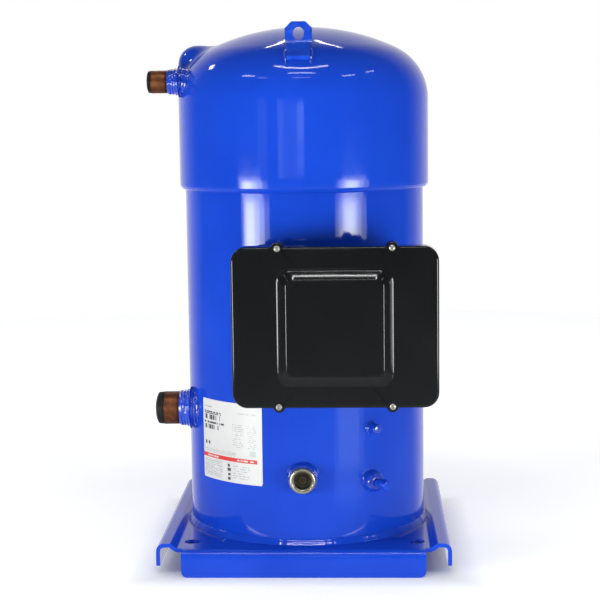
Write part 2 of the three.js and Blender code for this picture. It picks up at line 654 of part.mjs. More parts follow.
function counterweight(low, high, angle) {
  const shape = new THREE.Shape();
  shape.absarc(0, 0, 71, 0.15, Math.PI - 0.15, false);
  shape.absarc(0, 0, SHAFT_R + 12, Math.PI - 0.15, 0.15, true);
  const weight = prism(shape, high - low, { curveSegments: 8 }).translate([0, 0, low]);
  const strap = ring(SHAFT_R + GAP, SHAFT_R + 14, low, high);
  return joined(weight, strap).rotate([0, 0, angle]);
}

const oilPickup = () => turned([[3.5, 30], [9, 30], [15, 50], [15, 64 - GAP], [5, 64 - GAP], [3.5, 50],
  [3.5, 30]], COARSE);

function suctionBaffle() {
  const plate = block(-131, -128.5, -80, -20, 132, 183);
  const tabs = block(-140, -129, -80, -77.5, 140, 175);
  return joined(plate, tabs).intersect(shellEnvelope(FIT_R));
}

// ---- Scroll pump --------------------------------------------------------------------------------------

function mainFrame() {
  const body = turned([[29.7 + GAP, 366], [45, 366], [50, 398], [112, 412], [FIT_R, 414], [FIT_R, FRAME_TOP],
    [44, FRAME_TOP], [44, 408], [29.7 + GAP, 408], [29.7 + GAP, 366]], SIDES);
  const passages = [45, 135, 225, 315].map((angle) =>
    rod(9, 400, 450, COARSE).translate([127, 0, 0]).rotate([0, 0, angle]));
  const keyways = [-1, 1].map((side) => {
    const centre = (side * (OLDHAM_IN + OLDHAM_OUT)) / 2;
    const reach = KEY / 2 + ORBIT + 1;
    return block(centre - reach, centre + reach, -KEY / 2 - GAP, KEY / 2 + GAP, FRAME_TOP - 7, FRAME_TOP + 1);
  });
  return cut(body, ...passages, ...keyways);
}

function oldhamRing() {
  const low = FRAME_TOP + GAP;
  const high = PLATE_LOW - GAP;
  const centre = (OLDHAM_IN + OLDHAM_OUT) / 2;
  const half = KEY / 2;
  const lower = [-1, 1].map((side) =>
    block(side * centre - half, side * centre + half, -half, half, low - 6, low + 1));
  const upper = [-1, 1].map((side) =>
    block(-half, half, side * centre - half, side * centre + half, high - 1, high + 6));
  return joined(ring(OLDHAM_IN, OLDHAM_OUT, low, high, SIDES), ...lower, ...upper);
}

// Involute of the base circle, with its start turned by a phase.
function involute(angle, phase) {
  const direction = angle + phase;
  return new THREE.Vector2(
    BASE_CIRCLE * (Math.cos(direction) + angle * Math.sin(direction)),
    BASE_CIRCLE * (Math.sin(direction) - angle * Math.cos(direction)),
  );
}

// Spiral wall between two involutes half a wall thickness either side of the middle line.
function wrap(low, high) {
  const steps = WRAP_TURNS * STEPS_PER_TURN;
  const halfPhase = WRAP_T / (2 * BASE_CIRCLE);
  const side = (phase) => Array.from({ length: steps + 1 }, (_, i) =>
    involute(WRAP_START + (i * 2 * Math.PI) / STEPS_PER_TURN - phase, phase));
  const shape = new THREE.Shape([...side(-halfPhase), ...side(halfPhase).reverse()]);
  return prism(shape, high - low).translate([0, 0, low]);
}

function orbitingScroll() {
  const plate = rod(OLDHAM_OUT, PLATE_LOW, PLATE_HIGH, SIDES);
  const hub = rod(HUB_R, 410, PLATE_LOW + 1);
  const socket = rod(20, 409, PLATE_LOW - 1);
  const reachX = KEY / 2 + 2 * ORBIT + 1;
  const centre = (OLDHAM_IN + OLDHAM_OUT) / 2;
  const keyways = [-1, 1].map((side) => {
    const near = side * (centre - KEY / 2 - ORBIT - 1);
    const far = side * (OLDHAM_OUT + 5);
    return block(-reachX, reachX, Math.min(near, far), Math.max(near, far), PLATE_LOW - 1, PLATE_LOW + 7);
  });
  const spiral = wrap(PLATE_HIGH - 0.5, PLATE_HIGH + WRAP_H).rotate([0, 0, 180]);
  return cut(joined(plate, hub, spiral), socket, ...keyways);
}

function fixedScroll() {
  const plate = rod(FIT_R, FIXED_LOW, FIXED_HIGH, SIDES);
  const rim = ring(131, FIT_R, FRAME_TOP + GAP, FIXED_LOW + 1, SIDES);
  const spiral = wrap(PLATE_HIGH + WRAP_CLEAR, FIXED_LOW + 0.5);
  const inletWindow = block(-160, -120, -30, 30, FRAME_TOP + 22, FIXED_LOW - 6);
  const dischargePort = rod(8, FIXED_LOW - 1, FIXED_HIGH + 1, COARSE);
  return cut(joined(plate, rim, spiral), inletWindow, dischargePort);
}

function valveRetainer() {
  const low = FIXED_HIGH + GAP;
  const cage = cut(rod(21, low, low + 9), rod(14, low - 1, low + 6.2));
  const vents = [0, 120, 240].map((angle) =>
    block(10, 30, -5, 5, low + 1.5, low + 5).rotate([0, 0, angle]));
  return cut(cage, ...vents, rod(4, low, low + 12, COARSE));
}

const partitionPlate = () => turned([[30, 544], [44, 540], [120, 534], [153.6, 534], [153.6, 539],
  [122, 539], [46, 546], [30, 550], [30, 544]], SIDES);

const floatingSeal = () => turned([[34, FIXED_HIGH + GAP], [42, FIXED_HIGH + GAP], [42, 536], [38, 539.5],
  [34, 539.5], [34, FIXED_HIGH + GAP]]);

// ---- Build ----------------------------------------------------------------------------------------------

addPart('base_plate', basePlate(), bluePaint);
addPart('lower_shell', lowerShell(), bluePaint);
addPart('bottom_head', bottomHead(), bluePaint);
addPart('top_cap', topCap(), bluePaint);
addPart('lifting_lug_front', lug(), bluePaint);
addPart('lifting_lug_rear', lug().rotate([0, 0, 180]), bluePaint);

addPart('suction_collar', stubCollar(SUCTION, shellEnvelope(SHELL_R + GAP)), bluePaint);
addPart('suction_tube', stubTube(SUCTION), copper);
addPart('suction_plug', stubPlug(SUCTION, SUCTION_PLUG_HEAD), blackPlastic);
addPart('discharge_collar', stubCollar(DISCHARGE, capEnvelope(GAP)), bluePaint);
addPart('discharge_tube', stubTube(DISCHARGE), copper);
addPart('discharge_plug', stubPlug(DISCHARGE, DISCHARGE_PLUG_HEAD), blackPlastic);

addPart('sight_glass_boss', sightGlassBoss(), bluePaint);
addPart('sight_glass_body', sightGlassBody(), zincSteel);
addPart('sight_glass_lens', sightGlassLens(), darkGlass);
addPart('gauge_port_stub', gaugePort(), bluePaint);
addPart('service_port_boss', servicePortBoss(), bluePaint);
addPart('service_port_stem', servicePortStem(), bluePaint);
addPart('service_port_cap', servicePortCap(), bluePaint);
addPart('nameplate', nameplate(), whiteVinyl);

const terminalBox = new THREE.Group();
terminalBox.position.set(BOX_X, 0, BOX_Z);
compressor.add(terminalBox);
addPart('terminal_box_tray', boxTray(), blackEnamel, terminalBox);
addPart('cover_gasket', coverGasket(), greyRubber, terminalBox);
addPart('terminal_box_cover', boxCover(), blackEnamel, terminalBox);
screwSpots.forEach(([x, z], i) => {
  addPart(`cover_screw_${i + 1}`, coverScrew(), zincSteel, terminalBox, [x, COVER_FRONT - GAP, z]);
});
addPart('terminal_cup', terminalCup(), bareSteel, terminalBox);
pinSpots.forEach((spot, i) => {
  addPart(`terminal_pin_${i + 1}`, post(2.5, -174, -128, spot), copper, terminalBox);
});
addPart('terminal_block', terminalBlock(), blackPlastic, terminalBox);
addPart('protection_module', protectionModule(), blackPlastic, terminalBox);
addPart('earth_screw', earthScrew(), zincSteel, terminalBox);
addPart('knockout_plug', knockoutPlug(), blackPlastic, terminalBox);
addPart('box_saddle_upper', saddle(296), bluePaint);
addPart('box_saddle_lower', saddle(252), bluePaint);

addPart('lower_bearing_bracket', lowerBracket(), castIron);
addPart('lower_bearing_bush', ring(LOWER_JOURNAL_R + GAP, 26, 98, 126), bronze);
addPart('stator_core', statorCore(), laminations);
addPart('winding_lower', winding(152, STATOR_LOW - GAP), copperWire);
addPart('winding_upper', winding(STATOR_HIGH + GAP, 338), copperWire);
addPart('suction_baffle', suctionBaffle(), bareSteel);

const crank = new THREE.Group();
compressor.add(crank);
addPart('crankshaft', crankshaft(), bareSteel, crank);
addPart('rotor', ring(SHAFT_R + GAP, ROTOR_R, STATOR_LOW + 2, STATOR_HIGH - 2, SIDES), laminations, crank);
addPart('counterweight_upper', counterweight(STATOR_HIGH - 2 + GAP, 322, 180), bronze, crank);
addPart('counterweight_lower', counterweight(170, STATOR_LOW + 2 - GAP, 0), bronze, crank);
addPart('oil_pickup', oilPickup(), bareSteel, crank);

addPart('main_frame', mainFrame(), castIron);
addPart('main_bearing_bush', ring(JOURNAL_R + GAP, 29.7, 368, 406), bronze);
addPart('thrust_plate', ring(46, 92, FRAME_TOP + GAP, PLATE_LOW - GAP), bareSteel);
addPart('oldham_ring', oldhamRing(), aluminium);

const orbit = new THREE.Group();
orbit.position.set(0, ORBIT, 0);
compressor.add(orbit);
addPart('orbiting_scroll', orbitingScroll(), castIron, orbit);
addPart('drive_bush', ring(PIN_R + GAP, 20 - GAP, 411, 440), bronze, orbit);

addPart('fixed_scroll', fixedScroll(), castIron);
addPart('discharge_valve', rod(12.5, FIXED_HIGH + GAP, FIXED_HIGH + GAP + 1.8), bareSteel);
addPart('valve_retainer', valveRetainer(), bareSteel);
addPart('floating_seal', floatingSeal(), bronze);
addPart('partition_plate', partitionPlate(), bareSteel);

export default compressor;
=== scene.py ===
import json
import math

import bmesh
import bpy
from mathutils import Matrix, Vector, noise


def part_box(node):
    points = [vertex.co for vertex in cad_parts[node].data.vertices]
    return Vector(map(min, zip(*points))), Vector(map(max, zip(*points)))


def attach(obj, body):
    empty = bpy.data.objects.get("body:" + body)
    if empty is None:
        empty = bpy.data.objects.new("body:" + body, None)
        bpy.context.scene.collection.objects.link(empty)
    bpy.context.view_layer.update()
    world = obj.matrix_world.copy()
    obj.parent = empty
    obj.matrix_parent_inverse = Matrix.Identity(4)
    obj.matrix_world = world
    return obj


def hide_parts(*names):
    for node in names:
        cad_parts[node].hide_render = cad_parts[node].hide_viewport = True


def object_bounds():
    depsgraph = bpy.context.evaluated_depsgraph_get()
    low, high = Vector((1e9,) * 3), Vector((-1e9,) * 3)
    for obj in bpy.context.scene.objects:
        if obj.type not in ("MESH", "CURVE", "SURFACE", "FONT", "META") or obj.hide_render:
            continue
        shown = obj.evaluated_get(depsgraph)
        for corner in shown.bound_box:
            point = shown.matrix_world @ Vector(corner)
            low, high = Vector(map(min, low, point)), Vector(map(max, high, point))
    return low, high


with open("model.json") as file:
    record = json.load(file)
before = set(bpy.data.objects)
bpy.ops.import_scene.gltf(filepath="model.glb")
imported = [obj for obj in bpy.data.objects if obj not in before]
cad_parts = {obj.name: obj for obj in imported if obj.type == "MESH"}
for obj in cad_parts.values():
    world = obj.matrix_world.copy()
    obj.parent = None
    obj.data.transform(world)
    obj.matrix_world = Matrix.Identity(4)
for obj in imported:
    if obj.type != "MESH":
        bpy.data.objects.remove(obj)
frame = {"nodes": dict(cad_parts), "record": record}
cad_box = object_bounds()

MM = 0.001
TAU = 2 * math.pi

# ---- Dimensions, from the CAD boxes ----

shell_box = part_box("lower_shell")
cap_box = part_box("top_cap")
plate_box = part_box("base_plate")
cover_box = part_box("terminal_box_cover")
tray_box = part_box("terminal_box_tray")
sight_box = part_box("sight_glass_body")

SHELL_R = shell_box[1].y
SHELL_LOW = shell_box[0].z
SHELL_TOP = shell_box[1].z
SHELL_WALL = 5 * MM
CAP_R = cap_box[1].y
CAP_EDGE = cap_box[0].z
CAP_TOP = cap_box[1].z
CAP_BORE = SHELL_R + 0.3 * MM
KNUCKLE_R = 72 * MM
CROWN_R = 280 * MM
PLATE_TOP = 5 * MM
STUB_Y = -50 * MM
SIGHT_Z = (sight_box[0].z + sight_box[1].z) / 2
SIGHT_BORE = 10.8 * MM
PAINT_IOR = 1.4

# ---- Mesh helpers ----


def rounded(points, radius, steps=4, closed=True):
    """A profile with its corners eased; a third number on a point is that corner's own radius."""
    result = []
    count = len(points)
    for i, point in enumerate(points):
        own = point[2] if len(point) > 2 else radius
        here = Vector(point[:2])
        at_end = not closed and i in (0, count - 1)
        if own <= 0 or at_end or abs(here.x) < 1e-7:
            result.append(tuple(here))
            continue
        before = Vector(points[i - 1][:2]) - here
        after = Vector(points[(i + 1) % count][:2]) - here
        start = here + before.normalized() * min(own, before.length * 0.45)
        end = here + after.normalized() * min(own, after.length * 0.45)
        for k in range(steps + 1):
            t = k / steps
            result.append(tuple(start * (1 - t) ** 2 + here * (2 * t * (1 - t)) + end * t * t))
    return result


def arc(x, y, radius, first, last, steps):
    """Points on a circle about (x, y) from angle first to angle last, both included."""
    angles = [first + (last - first) * k / steps for k in range(steps + 1)]
    return [(x + radius * math.cos(a), y + radius * math.sin(a)) for a in angles]


def dense(points, spacing):
    """The same open profile with extra points, none further apart than spacing."""
    result = [tuple(points[0])]
    for a, b in zip(points, points[1:]):
        a, b = Vector(a), Vector(b)
        parts = max(1, math.ceil((b - a).length / spacing))
        result += [tuple(a.lerp(b, (k + 1) / parts)) for k in range(parts)]
    return result


def lathe(profile, sides=96, angles=None):
    """Closed profile of (radius, height) turned about +Z; a radius of 0 makes a pole."""
    angles = angles or [TAU * i / sides for i in range(sides)]
    sides = len(angles)
    verts, rings, faces = [], [], []
    for r, h in profile:
        if r < 1e-7:
            rings.append([len(verts)])
            verts.append(Vector((0, 0, h)))
        else:
            rings.append(list(range(len(verts), len(verts) + sides)))
            verts += [Vector((r * math.cos(a), r * math.sin(a), h)) for a in angles]
    for a, b in zip(rings, rings[1:] + rings[:1]):
        for i in range(sides):
            j = (i + 1) % sides
            if len(a) == 1 and len(b) == 1:
                continue
            if len(a) == 1:
                faces.append((a[0], b[j], b[i]))
            elif len(b) == 1:
                faces.append((a[i], a[j], b[0]))
            else:
                faces.append((a[i], a[j], b[j], b[i]))
    return verts, faces


def loft(loops, closed_ends=True):
    """Quads between loops of equal length, with a face over each end."""
    count = len(loops[0])
    verts = [Vector(p) for loop in loops for p in loop]
    faces = []
    for k in range(len(loops) - 1):
        for i in range(count):
            j = (i + 1) % count
            faces.append((k * count + i, k * count + j, (k + 1) * count + j, (k + 1) * count + i))
    if closed_ends:
        faces += [tuple(range(count)), tuple(range((len(loops) - 1) * count, len(loops) * count))]
    return verts, faces


def moved(shape, matrix):
    return [matrix @ v for v in shape[0]], shape[1]


def joined(*shapes):
    verts, faces = [], []
    for part_verts, part_faces in shapes:
        faces += [tuple(i + len(verts) for i in face) for face in part_faces]
        verts += part_verts
    return verts, faces


def along_x(y, z):
    """Turns +Z towards -X, for the stubs; heights become distances from the shell axis."""
    return Matrix.Translation((0, y, z)) @ Matrix.Rotation(-math.pi / 2, 4, "Y")


def to_front(x, z):
    """Turns +Z towards -Y."""
    return Matrix.Translation((x, 0, z)) @ Matrix.Rotation(math.pi / 2, 4, "X")


def radial(azimuth, z):
    """Turns +Z outwards at that azimuth."""
    turn = Matrix.Rotation(azimuth, 4, "Z") @ Matrix.Rotation(math.pi / 2, 4, "Y")
    return Matrix.Translation((0, 0, z)) @ turn


def lumpy(point, size, seed=0.0):
    """Smooth noise between -1 and 1 with lumps of about that size."""
    return noise.noise(point / size + Vector((seed, 7.3 * seed, 3.1)))


def build(name, shape, material, sharp=35):
    mesh = bpy.data.meshes.new(name)
    mesh.from_pydata([tuple(v) for v in shape[0]], [], shape[1])
    bm = bmesh.new()
    bm.from_mesh(mesh)
    bmesh.ops.remove_doubles(bm, verts=bm.verts, dist=2e-6)
    bmesh.ops.recalc_face_normals(bm, faces=bm.faces)
    bm.to_mesh(mesh)
    bm.free()
    mesh.polygons.foreach_set("use_smooth", [True] * len(mesh.polygons))
    mesh.set_sharp_from_angle(angle=math.radians(sharp))
    if material:
        mesh.materials.append(material)
    obj = bpy.data.objects.new(name, mesh)
    bpy.context.scene.collection.objects.link(obj)
    return obj


def settle(obj, sharp=None):
    """Bakes the modifiers so far into the mesh."""
    graph = bpy.context.evaluated_depsgraph_get()
    mesh = bpy.data.meshes.new_from_object(obj.evaluated_get(graph))
    obj.modifiers.clear()
    old = obj.data
    obj.data = mesh
    bpy.data.meshes.remove(old)
    mesh.name = obj.name
    if sharp:
        mesh.polygons.foreach_set("use_smooth", [True] * len(mesh.polygons))
        mesh.set_sharp_from_angle(angle=math.radians(sharp))
    return obj


def carve(obj, shapes, sharp=35):
    """Cuts closed shapes out of obj."""
    cutters = [build(f"cutter_{i}", shape, None) for i, shape in enumerate(shapes)]
    for cutter in cutters:
        cut = obj.modifiers.new("cut", "BOOLEAN")
        cut.operation = "DIFFERENCE"
        cut.solver = "EXACT"
        cut.object = cutter
    bpy.context.view_layer.update()
    settle(obj, sharp)
    for cutter in cutters:
        bpy.data.objects.remove(cutter)
    return obj


def soften(obj, width, segments=3, angle=35):
    bevel = obj.modifiers.new("edges", "BEVEL")
    bevel.width = width
    bevel.segments = segments
    bevel.limit_method = "ANGLE"
    bevel.angle_limit = math.radians(angle)
    bevel.harden_normals = True
    return obj


def weigh(obj):
    weighted = obj.modifiers.new("normals", "WEIGHTED_NORMAL")
    weighted.keep_sharp = True
    return obj


def place(obj, slot, *nodes, body="shell"):
    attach(obj, body)
    if nodes:
        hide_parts(*nodes)
    return obj


def bar(matrix, radius, low, high, sides=48):
    """A round bar along the matrix's Z, for cutting holes."""
    return moved(lathe([(0, low), (radius, low), (radius, high), (0, high)], sides), matrix)


def middle_of(node):
    low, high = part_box(node)
    return (low + high) / 2


def wobbled(shape, shift):
    """Moves each vertex along its radius from +Z by shift(vertex, radius)."""
    for v in shape[0]:
        r = math.hypot(v.x, v.y)
        if r > 0:
            v += Vector((v.x / r, v.y / r, 0)) * shift(v, r)
    return shape


# ---- Materials ----


class Nodes:
    """A shader node tree being put together."""

    def __init__(self, owner):
        owner.use_nodes = True
        self.tree = owner.node_tree
        self.coords = self.tree.nodes.new("ShaderNodeTexCoord")

    def node(self, kind, inputs=(), **settings):
        node = self.tree.nodes.new(kind)
        for key, value in settings.items():
            setattr(node, key, value)
        for socket, value in dict(inputs).items():
            if isinstance(value, bpy.types.NodeSocket):
                self.tree.links.new(value, node.inputs[socket])
            else:
                node.inputs[socket].default_value = value
        return node

    def where(self, stretch=(1, 1, 1)):
        inputs = {"Vector": self.coords.outputs["Object"], "Scale": stretch}
        return self.node("ShaderNodeMapping", inputs).outputs[0]

    def grain(self, scale, detail=3.0, stretch=(1, 1, 1)):
        inputs = {"Vector": self.where(stretch), "Scale": scale, "Detail": detail, "Roughness": 0.5}
        return self.node("ShaderNodeTexNoise", inputs).outputs["Fac"]

    def waves(self, scale, distortion):
        """Level bands along Z."""
        inputs = {"Vector": self.where(), "Scale": scale, "Distortion": distortion}
        return self.node("ShaderNodeTexWave", inputs, bands_direction="Z").outputs["Fac"]

    def math(self, operation, a, b=0.0):
        return self.node("ShaderNodeMath", {0: a, 1: b}, operation=operation).outputs[0]

    def ramp(self, source, *stops):
        node = self.node("ShaderNodeValToRGB", {"Fac": source})
        elements = node.color_ramp.elements
        while len(elements) < len(stops):
            elements.new(0.5)
        for element, (at, value) in zip(elements, stops):
            element.position = at
            element.color = (*value, 1) if isinstance(value, tuple) else (value, value, value, 1)
        return node.outputs["Color"]

    def blend(self, share, a, b, mode="MIX"):
        """Colour a where share is 0 and colour b where it is 1."""
        node = self.node("ShaderNodeMix", data_type="RGBA", blend_type=mode)
        for socket, value in (("Factor_Float", share), ("A_Color", a), ("B_Color", b)):
            target = next(s for s in node.inputs if s.identifier == socket)
            if isinstance(value, bpy.types.NodeSocket):
                self.tree.links.new(value, target)
            else:
                target.default_value = (*value, 1) if isinstance(value, tuple) else value
        return next(s for s in node.outputs if s.identifier == "Result_Color")


class Finish(Nodes):
    """A material around one Principled shader, in row-frame coordinates."""

    def __init__(self, name, **sockets):
        self.material = bpy.data.materials.new(name)
        super().__init__(self.material)
        self.shader = self.tree.nodes["Principled BSDF"]
        self.normal = None
        for socket, value in sockets.items():
            self.shader.inputs[socket.replace("_", " ")].default_value = value

    def bump(self, height, strength, distance):
        inputs = {"Height": height, "Strength": strength, "Distance": distance}
        if self.normal:
            inputs["Normal"] = self.normal
        self.normal = self.node("ShaderNodeBump", inputs).outputs[0]
        self.tree.links.new(self.normal, self.shader.inputs["Normal"])
        return self

    def link(self, socket, source):
        self.tree.links.new(source, self.shader.inputs[socket])
        return self

    def colour(self, source, low, high, ends=(0.3, 0.7)):
        return self.link("Base Color", self.ramp(source, (ends[0], low), (ends[1], high)))

    def gloss(self, source, low, high, ends=(0.3, 0.7)):
        return self.link("Roughness", self.ramp(source, (ends[0], low), (ends[1], high)))


def finish(name, colour, gloss, *bumps, **sockets):
    """Mottled colour, uneven gloss and bumps, each from a grain (scale, detail, stretch)."""
    f = Finish(name, **sockets)
    f.colour(f.grain(*colour[0]), *colour[1:])
    f.gloss(f.grain(*gloss[0]), *gloss[1:])
    for grain, strength, depth in bumps:
        f.bump(f.grain(*grain), strength, depth * MM)
    return f.material


def metal(name, low, high, rough=(0.25, 0.42), scale=300, stretch=(1, 1, 0.15), pits=0.2,
          metallic=1.0):
    return finish(name, ((50, 5), low, high), ((scale, 3, stretch), *rough),
                  ((scale * 2, 3, stretch), pits, 0.1), Metallic=metallic)


def blue_paint():
    f = Finish("blue_paint", IOR=PAINT_IOR)
    tint = f.ramp(f.grain(7), (0.3, (0.0058, 0.047, 0.49)), (0.7, (0.0080, 0.062, 0.58)))
    speck = f.ramp(f.grain(900, 1), (0.69, 0.0), (0.76, 1.0))
    f.link("Base Color", f.blend(speck, tint, (0.004, 0.036, 0.42)))
    f.gloss(f.grain(30, 5), 0.05, 0.10, (0.3, 0.75))
    f.bump(f.grain(12, 1), 0.4, 0.15 * MM)
    f.bump(f.grain(240, 2), 0.10, 0.05 * MM)
    return f.material


def black_enamel():
    f = Finish("black_enamel", IOR=1.42)
    f.colour(f.grain(9), (0.0045, 0.0047, 0.0050), (0.0070, 0.0070, 0.0076))
    dust = f.ramp(f.grain(700, 2), (0.66, 0.0), (0.8, 1.0))
    clean = f.ramp(f.grain(25, 4), (0.3, 0.06), (0.7, 0.11))
    f.link("Roughness", f.blend(dust, clean, (0.4, 0.4, 0.4)))
    f.bump(f.grain(14, 2), 0.4, 0.3 * MM)
    f.bump(f.grain(420, 2), 0.06, 0.1 * MM)
    return f.material


def copper_tube(name, tip, paint_edge):
    """Drawn copper: the rim at the open end keeps the plain copper colour with a darker band just behind it,
    and the tube darkens towards the painted joint.
    """
    f = Finish(name, Metallic=0.85)
    x = f.node("ShaderNodeSeparateXYZ", {0: f.coords.outputs["Object"]}).outputs[0]
    along = f.math("DIVIDE", f.math("SUBTRACT", x, tip), paint_edge - tip)
    uneven = f.math("ADD", along, f.math("MULTIPLY", f.grain(60), 0.10))
    drawn = f.grain(45, 4, (0.3, 1, 1))
    base = f.ramp(drawn, (0.3, (0.155, 0.050, 0.017)), (0.7, (0.255, 0.092, 0.038)))
    stain = f.ramp(f.grain(160, 4), (0.42, (0.09, 0.028, 0.012)), (0.62, (0.24, 0.083, 0.034)))
    patchy = f.blend(0.45, base, stain)
    ends = f.ramp(uneven, (0.0, 0.0), (0.08, 0.5), (0.2, 0.0), (0.84, 0.0), (0.98, 0.9))
    f.link("Base Color", f.blend(ends, patchy, (0.05, 0.014, 0.008)))
    f.gloss(f.grain(130, 4, (0.15, 1, 1)), 0.36, 0.55)
    f.bump(f.grain(260, 3, (0.2, 1, 1)), 0.25, 0.15 * MM)
    return f.material


def laminations():
    f = Finish("laminations", Metallic=0.9)
    sheets = f.waves(320, 0.4)
    f.link("Base Color", f.blend(f.grain(60, 4), (0.08, 0.082, 0.088), (0.17, 0.17, 0.18)))
    f.gloss(sheets, 0.38, 0.6, (0.2, 0.8))
    f.bump(sheets, 0.5, 0.3 * MM)
    f.bump(f.grain(900, 2), 0.2, 0.1 * MM)
    return f.material


def copper_wire():
    f = Finish("copper_wire", Metallic=0.6, Coat_Weight=0.5)
    turns = f.waves(90, 6.0)
    strands = f.grain(500, 2, (0.3, 0.3, 1.6))
    f.colour(strands, (0.16, 0.045, 0.014), (0.42, 0.14, 0.045), (0.35, 0.65))
    f.gloss(f.grain(150), 0.3, 0.5)
    f.bump(turns, 0.7, 0.8 * MM)
    f.bump(strands, 0.5, 0.4 * MM)
    return f.material


def sight_window():
    """Dark wet glass over a concentric indicator ring."""
    f = Finish("dark_glass", IOR=1.3)

    def vector(operation, a, b=(0, 0, 0)):
        return f.node("ShaderNodeVectorMath", {0: a, 1: b}, operation=operation).outputs

    centred = vector("SUBTRACT", f.coords.outputs["Object"], (0, 0, SIGHT_Z))[0]
    radius = vector("LENGTH", vector("MULTIPLY", centred, (1, 0, 1))[0])["Value"]
    rings = f.ramp(f.math("DIVIDE", radius, SIGHT_BORE),
                   (0.0, (0.030, 0.020, 0.012)), (0.26, (0.015, 0.012, 0.008)),
                   (0.34, (0.075, 0.055, 0.035)), (0.42, (0.018, 0.015, 0.010)),
                   (0.72, (0.022, 0.019, 0.012)), (0.80, (0.060, 0.050, 0.034)),
                   (0.90, (0.020, 0.016, 0.010)))
    film = f.ramp(f.grain(260, 4), (0.4, 0.0), (0.7, 0.6))
    f.link("Base Color", f.blend(film, rings, (0.012, 0.012, 0.008)))
    f.gloss(f.grain(500), 0.10, 0.22)
    f.bump(f.grain(350), 0.2, 0.2 * MM)
    return f.material


def label_print():
    """White vinyl with generic printed blocks, lines and bars; no words, marks or codes."""
    f = Finish("white_label", IOR=1.5)
    uv = f.node("ShaderNodeSeparateXYZ", {0: f.coords.outputs["UV"]})
    u, v = uv.outputs[0], uv.outputs[1]

    def both(a, b):
        return f.math("MULTIPLY", a, b)

    def inside(value, low, high):
        return both(f.math("GREATER_THAN", value, low), f.math("LESS_THAN", value, high))

    def area(u0, u1, v0, v1):
        return both(inside(u, u0, u1), inside(v, v0, v1))

    def cells(columns, rows, share):
        """That share of the cells of a grid, picked by noise."""
        grid = f.node("ShaderNodeCombineXYZ", {0: f.math("FLOOR", both(u, columns)),
                                               1: f.math("FLOOR", both(v, rows))})
        spots = f.node("ShaderNodeTexWhiteNoise", {"Vector": grid.outputs[0]},
                       noise_dimensions="2D")
        return f.math("LESS_THAN", spots.outputs["Value"], share)

    def lines(u0, u1, v0, v1, rows, columns=70, share=0.75, duty=0.45):
        stripes = f.math("LESS_THAN", f.math("FRACT", both(v, rows)), duty)
        return both(both(stripes, cells(columns, rows, share)), area(u0, u1, v0, v1))

    def bars(u0, u1, v0, v1, columns):
        return both(cells(columns, 1, 0.62), area(u0, u1, v0, v1))

    colour = f.ramp(f.grain(20), (0.3, (0.62, 0.61, 0.60)), (0.7, (0.68, 0.67, 0.66)))
    for mask in (lines(0.04, 0.20, 0.89, 0.915, 60, share=0.7, duty=0.4),
                 lines(0.03, 0.38, 0.815, 0.85, 30, share=0.85, duty=0.8),
                 bars(0.03, 0.37, 0.745, 0.805, 100),
                 lines(0.03, 0.43, 0.69, 0.72, 33, share=0.85, duty=0.8),
                 bars(0.03, 0.34, 0.625, 0.68, 115),
                 area(0.05, 0.085, 0.43, 0.47), area(0.12, 0.155, 0.43, 0.47),
                 area(0.485, 0.52, 0.195, 0.23), area(0.48, 0.535, 0.14, 0.18),
                 area(0.49, 0.53, 0.085, 0.115), area(0.485, 0.53, 0.03, 0.065)):
        colour = f.blend(mask, colour, (0.05, 0.05, 0.055))
    for mask in (lines(0.57, 0.74, 0.45, 0.745, 40, 60, 0.65, 0.35),
                 lines(0.80, 0.92, 0.45, 0.745, 40, 60, 0.5, 0.35),
                 lines(0.03, 0.62, 0.335, 0.385, 60, 90, 0.8, 0.45),
                 lines(0.03, 0.39, 0.03, 0.245, 46, 70, 0.85, 0.5),
                 lines(0.57, 0.83, 0.06, 0.235, 34, 60, 0.6, 0.35),
                 lines(0.66, 0.92, 0.865, 0.885, 60, 90, 0.8, 0.5)):
        colour = f.blend(both(mask, 0.62), colour, (0.24, 0.24, 0.26))
    colour = f.blend(area(0.0, 0.93, 0.265, 0.315), colour, (0.62, 0.03, 0.025))
    for mask in (lines(0.10, 0.32, 0.28, 0.30, 50, 90, 0.75, 0.9),
                 lines(0.64, 0.88, 0.28, 0.30, 50, 90, 0.75, 0.9)):
        colour = f.blend(mask, colour, (0.66, 0.60, 0.60))
    colour = f.blend(both(area(0.83, 0.91, 0.35, 0.42), 0.55), colour, (0.33, 0.42, 0.38))
    f.link("Base Color", colour)
    f.gloss(f.grain(60), 0.28, 0.42)
    f.bump(f.grain(30, 2), 0.3, 0.2 * MM)
    return f.material


EVEN = (1, 1, 1)
BLUE = blue_paint()
# The same paint over weld metal: runs and pits under a gloss coat.
WELD = finish("blue_paint_on_weld", ((60,), (0.005, 0.040, 0.43), (0.007, 0.060, 0.57)),
              ((120, 4), 0.05, 0.14, (0.3, 0.75)), ((170, 2), 0.9, 1.0), ((520, 2), 0.25, 0.15),
              IOR=1.6, Coat_Weight=1.0, Coat_Roughness=0.04)
# The same paint over hot-rolled strap: shallow dents that break up the reflections.
STRAP = finish("blue_paint_on_strap", ((90, 4), (0.0055, 0.044, 0.46), (0.010, 0.075, 0.60)),
               ((150, 4), 0.06, 0.16, (0.3, 0.75)), ((110, 3), 0.8, 1.0), ((520, 2), 0.3, 0.15),
               IOR=1.5)
ENAMEL = black_enamel()
PLASTIC = finish("black_plastic",
                 ((40, 4), (0.006, 0.006, 0.0065), (0.013, 0.0125, 0.0125), (0.3, 0.75)),
                 ((90,), 0.38, 0.55), ((1500, 2), 0.25, 0.1), IOR=1.3)
ZINC = metal("zinc_steel", (0.44, 0.40, 0.30), (0.72, 0.68, 0.56), (0.28, 0.45), 220, EVEN, 0.4)
SCREW = metal("screw_zinc", (0.46, 0.44, 0.39), (0.66, 0.64, 0.58), (0.30, 0.48), 260, EVEN, 0.3, 0.9)
GLASS = sight_window()
LABEL = label_print()
